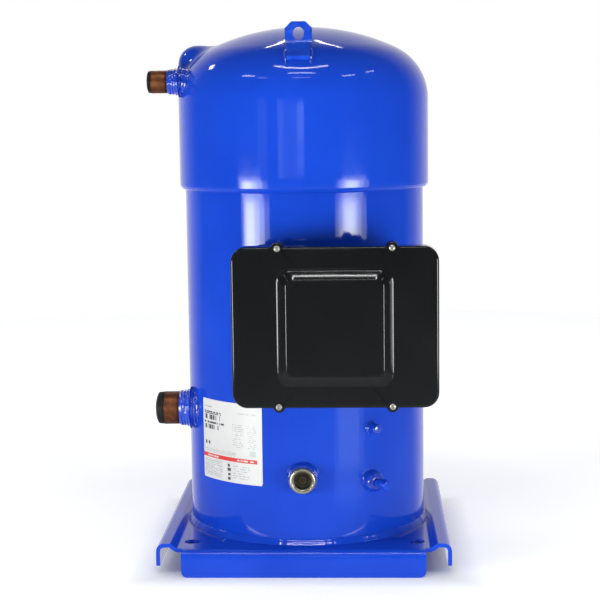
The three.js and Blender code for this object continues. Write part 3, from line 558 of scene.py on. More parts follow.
RUBBER = finish("grey_rubber", ((140, 4), (0.02, 0.02, 0.021), (0.045, 0.045, 0.047)),
                ((300,), 0.75, 0.92), ((1100,), 0.7, 0.3))
STEEL = metal("bare_steel", (0.30, 0.31, 0.33), (0.50, 0.51, 0.53))
IRON = finish("cast_iron", ((90, 6), (0.055, 0.056, 0.060), (0.12, 0.12, 0.125)),
              ((240, 4), 0.45, 0.68), ((420, 4), 0.6, 0.4), ((2400, 2), 0.3, 0.1), Metallic=0.8)
BRONZE = metal("bronze", (0.34, 0.20, 0.06), (0.52, 0.34, 0.12), (0.3, 0.48))
STACK = laminations()
WIRE = copper_wire()
ALLOY = metal("aluminium_alloy", (0.52, 0.53, 0.54), (0.68, 0.69, 0.70), (0.28, 0.45))

# ---- Base plate ----

PLATE_HALF = plate_box[1].x
FOOT_LOW = plate_box[0].z
FOOT_HALF = 150 * MM
SIDE_LENGTH = 170 * MM
FLAT_HALF = 154.5 * MM
CREST_AT = 166 * MM
CREST_RISE = 6 * MM
BEND_R = 10 * MM
SIDE_LOW = -17 * MM
HOLE_AT = 139.7 * MM
HOLE_R = 10 * MM
CORNER_R = 8 * MM
RIPPLE = 0.25 * MM


def bend_points(edge, top, low):
    """Top surface from a flat at height top round the bend and down to low, as (distance, height)."""
    bend = arc(edge - BEND_R, top - BEND_R, BEND_R, math.pi / 2, 0, 8)[1:]
    return bend + [(edge, low + CORNER_R * share) for share in (1, 0.7, 0.45, 0.25, 0.1, 0.02, 0)]


def swage_height(x):
    t = min(1, max(0, (abs(x) - FLAT_HALF) / (CREST_AT - FLAT_HALF)))
    return PLATE_TOP + CREST_RISE * t * t * (3 - 2 * t)


def base_sheet():
    """Top surface of the stamping: a grid with nothing outside the foot bends at the corners."""
    flat = [i * 6 * MM for i in range(25)] + [FOOT_HALF]
    swage = [FLAT_HALF + (CREST_AT - FLAT_HALF) * k / 8 for k in range(9)]
    half = [(x, PLATE_TOP) for x in flat] + [(x, swage_height(x)) for x in swage]
    half += bend_points(PLATE_HALF, PLATE_TOP + CREST_RISE, SIDE_LOW)
    across = [(-x, z) for x, z in reversed(half[1:])] + half
    feet = [(SIDE_LENGTH, PLATE_TOP)] + bend_points(PLATE_HALF, PLATE_TOP, FOOT_LOW)
    rows = [-SIDE_LENGTH + 2 * SIDE_LENGTH * k / 44 for k in range(45)]
    verts, index = [], {}
    for j, y in enumerate(rows):
        for i, (x, z) in enumerate(across):
            ripple = RIPPLE * lumpy(Vector((x, y, 0)), 45 * MM) if abs(x) < FOOT_HALF else 0
            index[i, j] = len(verts)
            verts.append(Vector((x, y, z + ripple)))
    inner = [i for i, (x, _) in enumerate(across) if abs(x) <= FOOT_HALF + 1e-6]
    faces = [(index[i, j], index[i + 1, j], index[i + 1, j + 1], index[i, j + 1])
             for j in range(len(rows) - 1) for i in range(len(across) - 1)]
    for side, edge_row in ((-1, 0), (1, len(rows) - 1)):
        previous = {i: index[i, edge_row] for i in inner}
        for y, z in feet[1:]:
            rise = min(CORNER_R, max(0, z - FOOT_LOW))
            pull = CORNER_R - math.sqrt(max(0, CORNER_R ** 2 - (CORNER_R - rise) ** 2))
            row = {}
            for i in inner:
                row[i] = len(verts)
                verts.append(Vector((across[i][0] * (1 - pull / FOOT_HALF), side * y, z)))
            faces += [(previous[i], previous[i + 1], row[i + 1], row[i]) for i in inner[:-1]]
            previous = row
    return verts, faces


def base_plate():
    obj = build("skin_base_plate", base_sheet(), BLUE)
    bm = bmesh.new()
    bm.from_mesh(obj.data)
    if sum(face.normal.z for face in bm.faces) < 0:
        bmesh.ops.reverse_faces(bm, faces=bm.faces)
    bm.to_mesh(obj.data)
    bm.free()
    thick = obj.modifiers.new("thickness", "SOLIDIFY")
    thick.thickness = PLATE_TOP
    thick.offset = -1
    thick.use_even_offset = True
    settle(obj)
    carve(obj, [bar(Matrix.Translation((HOLE_AT * a, HOLE_AT * b, 0)), HOLE_R, -10 * MM, 20 * MM)
                for a, b in ((-1, -1), (1, -1), (1, 1), (-1, 1))])
    soften(obj, 0.9 * MM, 2, 50)
    weigh(obj)
    place(obj, "blue_paint", "base_plate")


def ring_bead(name, section, height, count, scale):
    """A bead round the shell; scale(angle, direction, r, h) swells each point of its section."""
    loops = []
    for k in range(count):
        angle = TAU * k / count
        out = Vector((math.cos(angle), math.sin(angle), 0))
        loop = []
        for r, h in section:
            size = scale(angle, out, r, h) * MM
            loop.append(out * (SHELL_R + r * size) + Vector((0, 0, height + h * size)))
        loops.append(loop)
    place(build(name, loft(loops + loops[:1], False), BLUE, 80), "blue_paint")


def foot_weld():
    """Hand-laid fillet round the shell's foot, with its ripples and spatter."""
    section = [(0.2, 0.0), (3.2, 0.3), (5.6, -0.2), (6.2, 0.15), (5.3, 1.3), (3.8, 2.8), (2.3, 4.6),
               (0.9, 6.5), (0.2, 7.0)]
    pitch = 3.4 * MM

    def scale(angle, out, r, h):
        if h <= 0.5 and r <= 5:
            return 1
        ripple = 0.12 * math.sin(angle * SHELL_R / pitch)
        return 1 + 0.12 * (ripple + 0.9 * lumpy(out, 0.09) + 0.6 * lumpy(out, 0.02, 2))

    ring_bead("foot_weld", section, PLATE_TOP, 560, scale)


# ---- Shell and cap ----

KNUCKLE_AT = CAP_R - KNUCKLE_R  # radius of the circle that the knuckle bends about
CROWN_LOW = CAP_TOP - CROWN_R  # centre of the crown's sphere
TANGENT = math.acos(KNUCKLE_AT / (CROWN_R - KNUCKLE_R))  # where the knuckle meets the crown
SPRING = CROWN_LOW + (CROWN_R - KNUCKLE_R) * math.sin(TANGENT)  # where the skirt meets the knuckle
BULGE = Vector((-140 * MM, 0, 602.5 * MM))
BULGE_R = 19.5 * MM
BULGE_BLEND = 26 * MM
BULGE_REACH = 80 * MM
THREAD_BORE = 14.8 * MM


def stub_hole(tube_node, low, high):
    tube_low, tube_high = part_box(tube_node)
    bore = tube_high.y - STUB_Y + 0.5 * MM
    return bar(along_x(STUB_Y, (tube_low.z + tube_high.z) / 2), bore, low, high)


def lower_shell():
    outer = dense([(SHELL_R, SHELL_LOW), (SHELL_R, SHELL_TOP)], 22 * MM)
    inner = [(SHELL_R - SHELL_WALL, SHELL_TOP), (SHELL_R - SHELL_WALL, SHELL_LOW)]
    obj = build("skin_lower_shell", lathe(outer + inner, 192), BLUE)
    sight = bar(to_front(0, SIGHT_Z), THREAD_BORE, 100 * MM, 200 * MM)
    carve(obj, [stub_hole("suction_tube", 100 * MM, 200 * MM), sight])
    place(obj, "blue_paint", "lower_shell")


def dome_section(inset):
    """The dome's profile from the top of the skirt to the pole, moved inwards by inset."""
    knuckle = arc(KNUCKLE_AT, SPRING, KNUCKLE_R - inset, 0, TANGENT, 32)
    crown = arc(0, CROWN_LOW, CROWN_R - inset, TANGENT, math.pi / 2, 26)[1:-1]
    return knuckle + crown + [(0, CAP_TOP - inset)]


def dome_height(r):
    """Height of the dome's outside at radius r."""
    if r <= CROWN_R * KNUCKLE_AT / (CROWN_R - KNUCKLE_R):
        return CROWN_LOW + math.sqrt(CROWN_R ** 2 - r ** 2)
    return SPRING + math.sqrt(max(0, KNUCKLE_R ** 2 - (r - KNUCKLE_AT) ** 2))


def dome_normal(point):
    """Outward normal of the cap at a point on its outside."""
    r = math.hypot(point.x, point.y)
    out = Vector((point.x / r, point.y / r, 0))
    if point.z < SPRING:
        return out
    if math.atan2(point.z - SPRING, r - KNUCKLE_AT) <= TANGENT:
        return (out * (r - KNUCKLE_AT) + Vector((0, 0, point.z - SPRING))).normalized()
    return (out * r + Vector((0, 0, point.z - CROWN_LOW))).normalized()


def swell(point, normal):
    """How far a dome point moves out to lie on the smooth union with the boss."""
    def depth(t):
        boss = (point + normal * t - BULGE).length - BULGE_R
        share = max(BULGE_BLEND - abs(t - boss), 0) / BULGE_BLEND
        return min(t, boss) - share * share * BULGE_BLEND / 4
    low, high = 0, 40 * MM
    if depth(0) >= 0:
        return 0
    for _ in range(22):
        middle = (low + high) / 2
        low, high = (middle, high) if depth(middle) < 0 else (low, middle)
    return low


def top_cap():
    lip = rounded([(CAP_BORE + 0.2 * MM, CAP_EDGE + 1 * MM, 0), (CAP_R - 0.3 * MM, CAP_EDGE, 1.8 * MM),
                   (CAP_R, CAP_EDGE + 6 * MM, 0)], 0, 5, False)
    dome = dome_section(0)
    outside = lip + dense([lip[-1], dome[0]], 12 * MM)[1:-1] + dome
    inside = list(reversed(dome_section(CAP_R - CAP_BORE)))
    near = [math.pi + math.radians(0.8 * k) for k in range(-22, 23)]
    gap = TAU - math.radians(0.8 * 44)
    far = [near[-1] + gap * k / 130 for k in range(1, 130)]
    verts, faces = lathe(outside + inside, angles=near + far)
    pole = (len(outside) - 1) * len(near + far)
    for v in verts[:pole]:
        if v.z >= SPRING - 60 * MM and (v - BULGE).length <= BULGE_REACH:
            normal = dome_normal(v)
            v += normal * swell(v, normal)
    obj = build("skin_top_cap", (verts, faces), BLUE)
    carve(obj, [stub_hole("discharge_tube", 120 * MM, 170 * MM)])
    place(obj, "blue_paint", "top_cap")


def cap_weld():
    """Lap joint under the cap's edge, filled by a smooth bead."""
    section = [(0.15, 0.6), (5.9, 0.4), (5.3, -1.0), (3.6, -2.5), (1.6, -3.6), (0.15, -4.2)]

    def scale(_, out, r, h):
        if r >= 5.8 or h >= 0:
            return 1
        return 1 + 0.10 * lumpy(out, 0.06, 5) + 0.05 * lumpy(out, 0.02, 9)

    ring_bead("cap_weld", section, CAP_EDGE, 420, scale)


# ---- Lifting lugs ----


LUG_T = 5 * MM
LUG_BACK = 124 * MM  # the tab's inner face
LUG_BEND = 617.5 * MM
LUG_FOOT_Y = 148 * MM
LUG_FOOT_Z = 599.3 * MM
LUG_CHAMFER = 8 * MM
EYE_R = 6.6 * MM
EYE_HEIGHTS = (629.6 * MM, 632 * MM)


def lug_profile(top):
    """The bent strap from the side, as (distance in front of the axis, height)."""
    slope = Vector((LUG_FOOT_Y - LUG_BACK, LUG_FOOT_Z - LUG_BEND)).normalized()
    across = -slope.y * LUG_T
    return rounded([(LUG_BACK + LUG_T, top), (LUG_BACK + LUG_T, LUG_BEND + 4 * MM, 6 * MM),
                    (LUG_FOOT_Y, LUG_FOOT_Z + 4.2 * MM),
                    (LUG_FOOT_Y - across - 1.5 * MM, LUG_FOOT_Z - 1.6 * MM),
                    (LUG_BACK, LUG_BEND - 2 * MM, 4 * MM), (LUG_BACK, top)], 0, 8)


def lug_bead(sx, half):
    """Fillet along one side of the foot, thickest in the middle."""
    loops = []
    for k in range(25):
        share = k / 24
        y = -(LUG_BACK + 7 * MM + (LUG_FOOT_Y - LUG_BACK - 7.5 * MM) * share)
        middle = Vector((sx * (half - 1.4 * MM), y, dome_height(math.hypot(half, y)) + 0.4 * MM))
        taper = math.sin(math.pi * (0.12 + 0.76 * share)) ** 0.5
        size = (2.5 + 0.8 * lumpy(middle, 5 * MM, 3)) * MM * taper
        loops.append([middle + Vector((x, 0, z)) for x, z in arc(0, 0, size, 0, TAU, 12)[:-1]])
    return loft(loops)


def lug(side, node):
    """Strap bent from an upright tab into a foot on the dome, eased at both bends."""
    low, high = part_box(node)
    top, half = high.z, (high.x - low.x) / 2
    waist = LUG_BEND + 5 * MM
    loops = []
    for s in (-1, -0.86, -0.52, -0.5, -0.25, 0, 0.25, 0.5, 0.52, 0.86, 1):
        loop = []
        for y, z in lug_profile(top):
            narrowing = 2.2 * MM * min(1, (waist - z) / (5 * MM)) if z < waist else 0
            x = s * (half - narrowing)
            roof = top - max(0, abs(x) - (half - LUG_CHAMFER))
            loop.append(Vector((x, -y, min(z, roof))))
        loops.append(loop)
    strap = build(f"skin_{node}", loft(loops), STRAP)
    carve(strap, [bar(to_front(0, z), EYE_R, 90 * MM, 190 * MM) for z in EYE_HEIGHTS])
    soften(strap, 0.9 * MM, 3, 40)
    weigh(strap)
    weld = build(f"{node}_weld", joined(lug_bead(-1, half), lug_bead(1, half)), WELD, 80)
    if side > 0:
        for obj in (strap, weld):
            obj.data.transform(Matrix.Rotation(math.pi, 4, "Z"))
    place(strap, "blue_paint", node)
    place(weld, "blue_paint")


# ---- Stubs ----


def collar(node, tube_node, neck, fin_r, fin):
    """Painted, brazed root of a stub: a rough neck and a thin flared fin where it meets the shell."""
    low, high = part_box(node)
    tube_low, tube_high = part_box(tube_node)
    bore = (tube_high.z - tube_low.z) / 2 + 0.2 * MM
    tip, root = -low.x, -high.x
    profile = [(bore, root), (neck + 0.4 * MM, root), (neck + 0.6 * MM, fin - 5 * MM),
               (neck + 1.6 * MM, fin - 2 * MM), (fin_r - 0.8 * MM, fin - 0.5 * MM),
               (fin_r - 0.5 * MM, fin + 0.3 * MM), (fin_r - 2.2 * MM, fin + 1.2 * MM),
               (neck + 1.2 * MM, fin + 2.6 * MM), (neck + 0.2 * MM, fin + 5 * MM),
               (neck - 0.2 * MM, tip - 3 * MM), (neck - 0.5 * MM, tip - 0.9 * MM),
               (neck - 1.2 * MM, tip - 0.1 * MM), (bore, tip)]

    def shift(v, r):
        if r < bore + 0.3 * MM:
            return 0
        rough = 0.65 * lumpy(v, 5.2 * MM, 4) + 0.30 * lumpy(v, 2.6 * MM, 6)
        ridge = 0.42 * math.sin(v.z / MM * TAU / 3.6 + 1.8 * lumpy(v, 14 * MM, 8))
        fade = min(1, (tip - v.z) / (2.0 * MM))
        return ((rough + ridge) * fade - 0.25 * fade) * MM

    shape = moved(wobbled(lathe(dense(profile, 0.8 * MM), 180), shift),
                  along_x(STUB_Y, (tube_low.z + tube_high.z) / 2))
    place(build(f"skin_{node}", shape, WELD, 70), "blue_paint", node)


def tube(node, collar_node, wall):
    low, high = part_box(node)
    z, r = (low.z + high.z) / 2, (high.z - low.z) / 2
    outer, inner = -low.x, -high.x
    profile = rounded([(r - wall, inner), (r, inner), (r, outer), (r - wall, outer)], 0.7 * MM)
    material = copper_tube(f"{node}_copper", low.x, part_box(collar_node)[0].x)
    shape = moved(lathe(profile), along_x(STUB_Y, z))
    place(build(f"skin_{node}", shape, material), "copper_tube", node)


def plug(node, tube_node, body, step):
    """Moulded push-in plug: a tapered, domed head with a parting line, on a hollow stem."""
    low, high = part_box(node)
    z, r = (low.z + high.z) / 2, (high.z - low.z) / 2
    face, end, back = -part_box(tube_node)[0].x + 0.3 * MM, -low.x, -high.x
    head, stem = end - face, r - step
    floor_at = face + 1 * MM
    profile = [(0, floor_at), (stem - 2 * MM, floor_at), (stem - 2 * MM, back), (stem, back),
               (stem, face), (r, face, 0.3 * MM), (r, face + head * 0.28, 0.4 * MM),
               (r - 0.35 * MM, face + head * 0.34, 0.2 * MM),
               (r - 0.4 * MM, face + head * 0.42, 0.2 * MM),
               (r - 0.1 * MM, face + head * 0.48, 0.3 * MM),
               (r - 0.8 * MM, end - head * 0.36, 1.2 * MM),
               (r * 0.62, end - head * 0.09, 7 * MM), (0, end)]
    shape = moved(lathe(rounded(profile, 0.5 * MM)), along_x(STUB_Y, z))
    place(build(f"skin_{node}", shape, PLASTIC, 50), "black_plastic", node, body=body)


# ---- Sight glass and ports ----


def sight_glass():
    boss_low, boss_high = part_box("sight_glass_boss")
    face, r = -boss_low.y, (boss_high.x - boss_low.x) / 2
    boss = rounded([(THREAD_BORE, 148 * MM), (r + 2.4 * MM, 148 * MM, 0),
                    (r + 1.6 * MM, 154.6 * MM, 1.5 * MM), (r - 0.4 * MM, 157.5 * MM, 2 * MM),
                    (r - 0.6 * MM, face, 1.4 * MM), (THREAD_BORE, face, 0.4 * MM)], 0.4 * MM)
    rough = wobbled(lathe(dense(boss + boss[:1], 1.5 * MM)[:-1]), lambda v, r: (
        0.35 * MM * lumpy(v, 5 * MM, 2) if r > THREAD_BORE + 1 * MM and v.z < 160 * MM else 0))
    place(build("skin_sight_boss", moved(rough, to_front(0, SIGHT_Z)), WELD, 60),
          "blue_paint", "sight_glass_boss")
    front, ring_r = -sight_box[0].y, (sight_box[1].x - sight_box[0].x) / 2
    seat = face + 0.3 * MM
    thread = 14.4 * MM
    ring = rounded([(SIGHT_BORE, 146 * MM), (thread, 146 * MM), (thread, seat),
                    (ring_r, seat, 0.5 * MM), (ring_r, front - 2.2 * MM, 1.0 * MM),
                    (ring_r - 1.4 * MM, front - 0.5 * MM, 0.7 * MM),
                    (SIGHT_BORE + 2.2 * MM, front, 0.6 * MM),
                    (SIGHT_BORE + 1.3 * MM, front - 1.4 * MM, 0.5 * MM),
                    (SIGHT_BORE, front - 2.6 * MM, 0.5 * MM)], 0.3 * MM)
    place(build("skin_sight_body", moved(lathe(ring), to_front(0, SIGHT_Z)), ZINC),
          "zinc_steel", "sight_glass_body")
    lens_low, lens_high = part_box("sight_glass_lens")
    lens, sag = SIGHT_BORE - 0.3 * MM, 1.2 * MM
    dome = [(lens * c, -lens_low.y - sag * (1 - h)) for c, h in arc(0, 0, 1, 0, math.pi / 2, 8)]
    profile = [(0, -lens_high.y), (lens, -lens_high.y)] + dome[:-1] + [(0, -lens_low.y)]
    place(build("skin_sight_lens", moved(lathe(profile, 64), to_front(0, SIGHT_Z)), GLASS),
          "dark_glass", "sight_glass_lens")


PORT_AZIMUTH = math.radians(-56.8)
GAUGE_Z = 147 * MM
SERVICE_Z = 80 * MM


def port(name, node, z, profile, ease, steps, material, rough=0):
    """A small turned fitting on the shell; its profile is in millimetres from the shell axis."""
    points = [(r * MM, h * MM) for r, h in rounded(profile, ease, steps)]
    if rough:
        points = dense(points + points[:1], 1.2 * MM)[:-1]
    shape = wobbled(lathe(points, 64), lambda v, r: (
        rough * MM * lumpy(v, 3.5 * MM, z * 90) if rough and r > 4.5 * MM else 0))
    place(build(name, moved(shape, radial(PORT_AZIMUTH, z)), material, 60), "blue_paint", node)


def ports():
    port("skin_gauge_port", "gauge_port_stub", GAUGE_Z,
         [(0, 148), (9.2, 148), (8.6, 154.4, 0.8), (6.7, 156.6, 1.2), (6.2, 158), (6.1, 167.2, 1.2),
          (4.8, 169.3, 0.8), (0, 169.8)], 0.4, 4, WELD, 0.25)
    port("skin_service_boss", "service_port_boss", SERVICE_Z,
         [(4.3, 148), (14.6, 148), (14.0, 154.8, 1), (13.2, 157, 1.5), (13.0, 161.5, 2.5),
          (11.2, 165.8, 2), (7.6, 167.7, 1), (4.3, 168)], 0.3, 4, WELD, 0.5)
    port("skin_service_stem", "service_port_stem", SERVICE_Z,
         [(1.5, 145), (4, 145), (4, 168.3), (5.2, 168.3), (5.2, 176), (4.2, 176), (4.2, 184),
          (1.5, 184)], 0.3, 3, BLUE)
    port("skin_service_cap", "service_port_cap", SERVICE_Z,
         [(4.6, 177), (6.4, 177), (6.8, 178), (6.8, 183.4, 0.3), (6.3, 184, 0.3), (6.8, 184.6, 0.3),
          (6.8, 188.6, 1), (5.4, 190.8, 1), (0, 191), (0, 185.5), (4.6, 185.5)], 0.3, 3, BLUE)


LABEL_START = math.radians(-146.3)
LABEL_END = math.radians(-109)


def nameplate():
    low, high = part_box("nameplate")
    inner, outer = SHELL_R + 0.1 * MM, SHELL_R + 0.55 * MM
    columns, rows = 60, 30
    corner = 1.2 * MM
    width = (LABEL_END - LABEL_START) * SHELL_R
    height = high.z - low.z
    grid = {}
    verts, faces = [], []
    for skin, radius in ((0, outer), (1, inner)):
        for j in range(rows + 1):
            z = height * j / rows
            edge = min(z, height - z)
            bow = math.sqrt(max(0, corner ** 2 - (corner - min(edge, corner)) ** 2))
            trim = corner - bow
            for i in range(columns + 1):
                a = LABEL_START + (trim + (width - 2 * trim) * i / columns) / SHELL_R
                grid[skin, i, j] = len(verts)
                verts.append(Vector((radius * math.cos(a), radius * math.sin(a), low.z + z)))
    for j in range(rows):
        for i in range(columns):
            cell = ((i, j), (i + 1, j), (i + 1, j + 1), (i, j + 1))
            faces += [tuple(grid[skin, p, q] for p, q in cell) for skin in (0, 1)]
    rim = [(i, 0) for i in range(columns)] + [(columns, j) for j in range(rows)]
    rim += [(i, rows) for i in range(columns, 0, -1)] + [(0, j) for j in range(rows, 0, -1)]
    for a, b in zip(rim, rim[1:] + rim[:1]):
        faces.append((grid[0, a[0], a[1]], grid[0, b[0], b[1]],
                      grid[1, b[0], b[1]], grid[1, a[0], a[1]]))
    obj = build("skin_nameplate", (verts, faces), LABEL, 40)
    layer = obj.data.uv_layers.new(name="print")
    for loop in obj.data.loops:
        co = obj.data.vertices[loop.vertex_index].co
        u = (math.atan2(co.y, co.x) - LABEL_START) / (LABEL_END - LABEL_START)
        layer.data[loop.index].uv = (u, (co.z - low.z) / height)
    place(obj, "white_label", "nameplate")


# ---- Terminal box ----

BOX_X = middle_of("terminal_box_cover").x
BOX_Z = middle_of("terminal_box_cover").z
COVER_HALF_X = (cover_box[1].x - cover_box[0].x) / 2
COVER_HALF_Z = 96 * MM
COVER_FRONT = -214 * MM
COVER_BACK = cover_box[1].y
BOX_CORNER_R = 18 * MM
BOX_WALL = 2 * MM
PANEL_HALF = 67.4 * MM  # the raised square on the cover
PANEL_SLOPE = 10 * MM
PANEL_RISE = 8 * MM
SCREW_X = 67.4 * MM
SCREW_Z = 94.2 * MM
EAR_R = 7.5 * MM


def box_outline(half_x, half_z, radius, ear=0.0):
    """Points of a rounded rectangle about the box centre, with round screw ears on its long edges."""
    points = []
    for corner, (sx, sz) in enumerate(((1, -1), (1, 1), (-1, 1), (-1, -1))):
        first = math.pi / 2 * (corner - 1)
        centre = sx * (half_x - radius), sz * (half_z - radius)
        points += arc(*centre, radius, first, first + math.pi / 2, 15)
        if corner in (0, 2):
            continue
        side = 1 if corner == 1 else -1
        edge = half_x - radius
        line = [(side * (edge - 2 * edge * k / 24), side * half_z) for k in range(1, 24)]
        if ear:
            lift = math.asin((half_z - SCREW_Z) / ear)
            reach = ear * math.cos(lift) + 1.5 * MM
            line = [point for point in line if abs(abs(point[0]) - SCREW_X) > reach]
            for x in (SCREW_X, -SCREW_X):
                line += [(px, side * pz) for px, pz in arc(x, SCREW_Z, ear, lift, math.pi - lift, 14)]
            line.sort(key=lambda point: -side * point[0])
        points += line
    return points


def shrink(points, amount):
    """The outline moved inwards by amount along its own normals."""
    result = []
    for i, here in enumerate(points):
        before, here, after = (Vector(p) for p in (points[i - 1], here, points[(i + 1) % len(points)]))
        tangent = ((here - before).normalized() + (after - here).normalized()).normalized()
        result.append((here.x - tangent.y * amount, here.y + tangent.x * amount))
    return result


def square_like(points, half, radius):
    """For each outline point, the point of a rounded square in the same direction from the centre."""
    result = []
    for x, z in points:
        reach = half / max(abs(x), abs(z))
        px, pz = x * reach, z * reach
        inner = half - radius
        if abs(px) > inner and abs(pz) > inner:
            corner = Vector((math.copysign(inner, px), math.copysign(inner, pz)))
            direction = Vector((x, z)).normalized()
            along = corner.dot(direction)
            across = math.sqrt(max(0, radius ** 2 - (corner.length_squared - along ** 2)))
            px, pz = direction * (along + across)
        result.append((px, pz))
    return result


def at_depth(points, y):
    return [Vector((BOX_X + x, y, BOX_Z + z)) for x, z in points]


def eased(outline, radius, y, steps):
    """Loops that turn an outline through a quarter round of that radius, from depth y to past it."""
    turn = arc(0, 0, 1, 0, math.pi / 2, steps)
    return [(shrink(outline, abs(radius) * (1 - c)), y + radius * (1 - h)) for c, h in turn]


def at_screws(shape_at):
    """One shape for each cover screw, from a function of the matrix that faces it."""
    return [shape_at(to_front(BOX_X + a * SCREW_X, BOX_Z + b * SCREW_Z))
            for a in (-1, 1) for b in (-1, 1)]


def cover():
    edge_r = 3.2 * MM
    outline = box_outline(COVER_HALF_X, COVER_HALF_Z, BOX_CORNER_R, EAR_R)
    inner = shrink(outline, BOX_WALL)
    loops = [at_depth(inner, COVER_FRONT + BOX_WALL), at_depth(inner, COVER_BACK),
             at_depth(shrink(outline, BOX_WALL * 0.85), COVER_BACK),
             at_depth(shrink(outline, BOX_WALL * 0.15), COVER_BACK),
             at_depth(outline, COVER_BACK - 0.3 * MM),
             at_depth(outline, COVER_FRONT + edge_r + 4 * MM)]
    loops += [at_depth(*loop) for loop in eased(outline, edge_r, COVER_FRONT, 8)]
    loops.append(at_depth(shrink(outline, edge_r + 0.8 * MM), COVER_FRONT))
    section = rounded([(-3 * MM, 0), (0, 0), (PANEL_SLOPE, PANEL_RISE),
                       (PANEL_SLOPE + 3 * MM, PANEL_RISE)], 1 * MM, 6, False)
    for inset, lift in section:
        radius = max(4 * MM, 14 * MM - inset * 0.7)
        loops.append(at_depth(square_like(outline, PANEL_HALF - inset, radius), COVER_FRONT - lift))
    flat = square_like(outline, PANEL_HALF - PANEL_SLOPE - 6 * MM, 5 * MM)
    loops.append(at_depth(flat, COVER_FRONT - PANEL_RISE))
    obj = build("skin_box_cover", loft(loops), ENAMEL, 50)
    carve(obj, at_screws(lambda turn: bar(turn, 2.4 * MM, 205 * MM, 230 * MM, 24)), 50)
    weigh(obj)
    place(obj, "black_enamel", "terminal_box_cover")


def tray():
    inset, edge_r = 4.5 * MM, 3 * MM
    back, front = tray_box[1].y, tray_box[0].y
    outline = box_outline(COVER_HALF_X - inset, COVER_HALF_Z - inset, BOX_CORNER_R - inset)
    inner = shrink(outline, BOX_WALL)
    loops = [at_depth(inner, back - BOX_WALL), at_depth(inner, front), at_depth(outline, front)]
    loops += [at_depth(*loop) for loop in eased(outline, -edge_r, back, 6)]
    loops.append(at_depth(shrink(outline, edge_r + 1 * MM), back))
    obj = build("skin_box_tray", loft(loops), ENAMEL, 50)
    entry, cup = middle_of("knockout_plug"), middle_of("terminal_cup")
    carve(obj, [bar(Matrix.Translation((entry.x, entry.y, 0)), 11 * MM, BOX_Z - 110 * MM, BOX_Z - 80 * MM),
                bar(to_front(cup.x, cup.z), 31 * MM, 150 * MM, 170 * MM)], 50)
    place(weigh(obj), "black_enamel", "terminal_box_tray")
    post = lathe(rounded([(2.4 * MM, -back), (5.1 * MM, -back), (5.1 * MM, -front),
                          (2.4 * MM, -front)], 0.3 * MM, 3), 32)
    posts = joined(*at_screws(lambda turn: moved(post, turn)))
    place(build("tray_screw_posts", posts, ENAMEL), "black_enamel")


def screw_slot(turn, tip):
    """One arm of the cross recess, as a box turned about the screw's axis."""
    corners = [(turn @ Vector((a * 2.3 * MM, b * 0.45 * MM, tip + h)))
               for h in (-1.3 * MM, 2 * MM) for a, b in ((-1, -1), (1, -1), (1, 1), (-1, 1))]
    sides = [(k, (k + 1) % 4, (k + 1) % 4 + 4, k + 4) for k in range(4)]
    return corners, [(0, 1, 2, 3), (4, 5, 6, 7)] + sides


def cover_screw(node):
    low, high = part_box(node)
    spot = to_front((low.x + high.x) / 2, (low.z + high.z) / 2)
    seat, tip = -COVER_FRONT + 0.3 * MM, -low.y
    r, rim = 3.9 * MM, seat + 0.9 * MM
    head = [(0, seat), (r, seat), (r, rim)]
    head += [(r * c, rim + (tip - rim) * h) for c, h in arc(0, 0, 1, 0, math.pi / 2, 8)[1:-1]]
    head.append((0, tip))
    obj = build(f"skin_{node}", moved(lathe(head, 48), spot), SCREW)
    carve(obj, [screw_slot(spot @ Matrix.Rotation(angle, 4, "Z"), tip) for angle in (0, math.pi / 2)])
    end = seat - 0.01 * MM
    shank = lathe(rounded([(0, -high.y), (2 * MM, -high.y), (2 * MM, end), (0, end)], 0.3 * MM, 3), 32)
    place(obj, "zinc_steel", node)
    place(build(f"{node}_shank", moved(shank, spot), SCREW), "zinc_steel")


base_plate()
foot_weld()
lower_shell()
top_cap()
cap_weld()
lug(-1, "lifting_lug_front")
lug(1, "lifting_lug_rear")
collar("suction_collar", "suction_tube", 23.4 * MM, 27.6 * MM, 148 * MM)
collar("discharge_collar", "discharge_tube", 16.1 * MM, 20.2 * MM, 155 * MM)
tube("suction_tube", "suction_collar", 2 * MM)
tube("discharge_tube", "discharge_collar", 1.8 * MM)
plug("suction_plug", "suction_tube", "suction_stopper", 2.1 * MM)
plug("discharge_plug", "discharge_tube", "discharge_stopper", 1.9 * MM)
sight_glass()
ports()
nameplate()
cover()
tray()
for number in range(1, 5):
    cover_screw(f"cover_screw_{number}")

# ---- Carried CAD nodes ----

SLOT_FINISH = {"blue_paint": BLUE, "black_enamel": ENAMEL, "black_plastic": PLASTIC, "zinc_steel": ZINC,
               "dark_glass": GLASS, "white_label": LABEL, "grey_rubber": RUBBER, "bare_steel": STEEL,
               "cast_iron": IRON, "bronze": BRONZE, "laminations": STACK, "copper_wire": WIRE,
               "aluminium_alloy": ALLOY, "copper_tube": copper_tube("terminal_copper", -0.02, 0.02)}

for part in frame["record"]["subparts"]:
    node = frame["nodes"][part["node"]]
    node.data.materials.clear()
    node.data.materials.append(SLOT_FINISH[part["material_slot"]])

# ---- Floor, light and camera ----


FLOOR_R = 2.4
SOFTBOX_RING = 1.6
SKY = (0.72, 0.92, 1.0)
KEY_TINT = (1.0, 1.03, 1.0)
KEY_TOP = 0.352


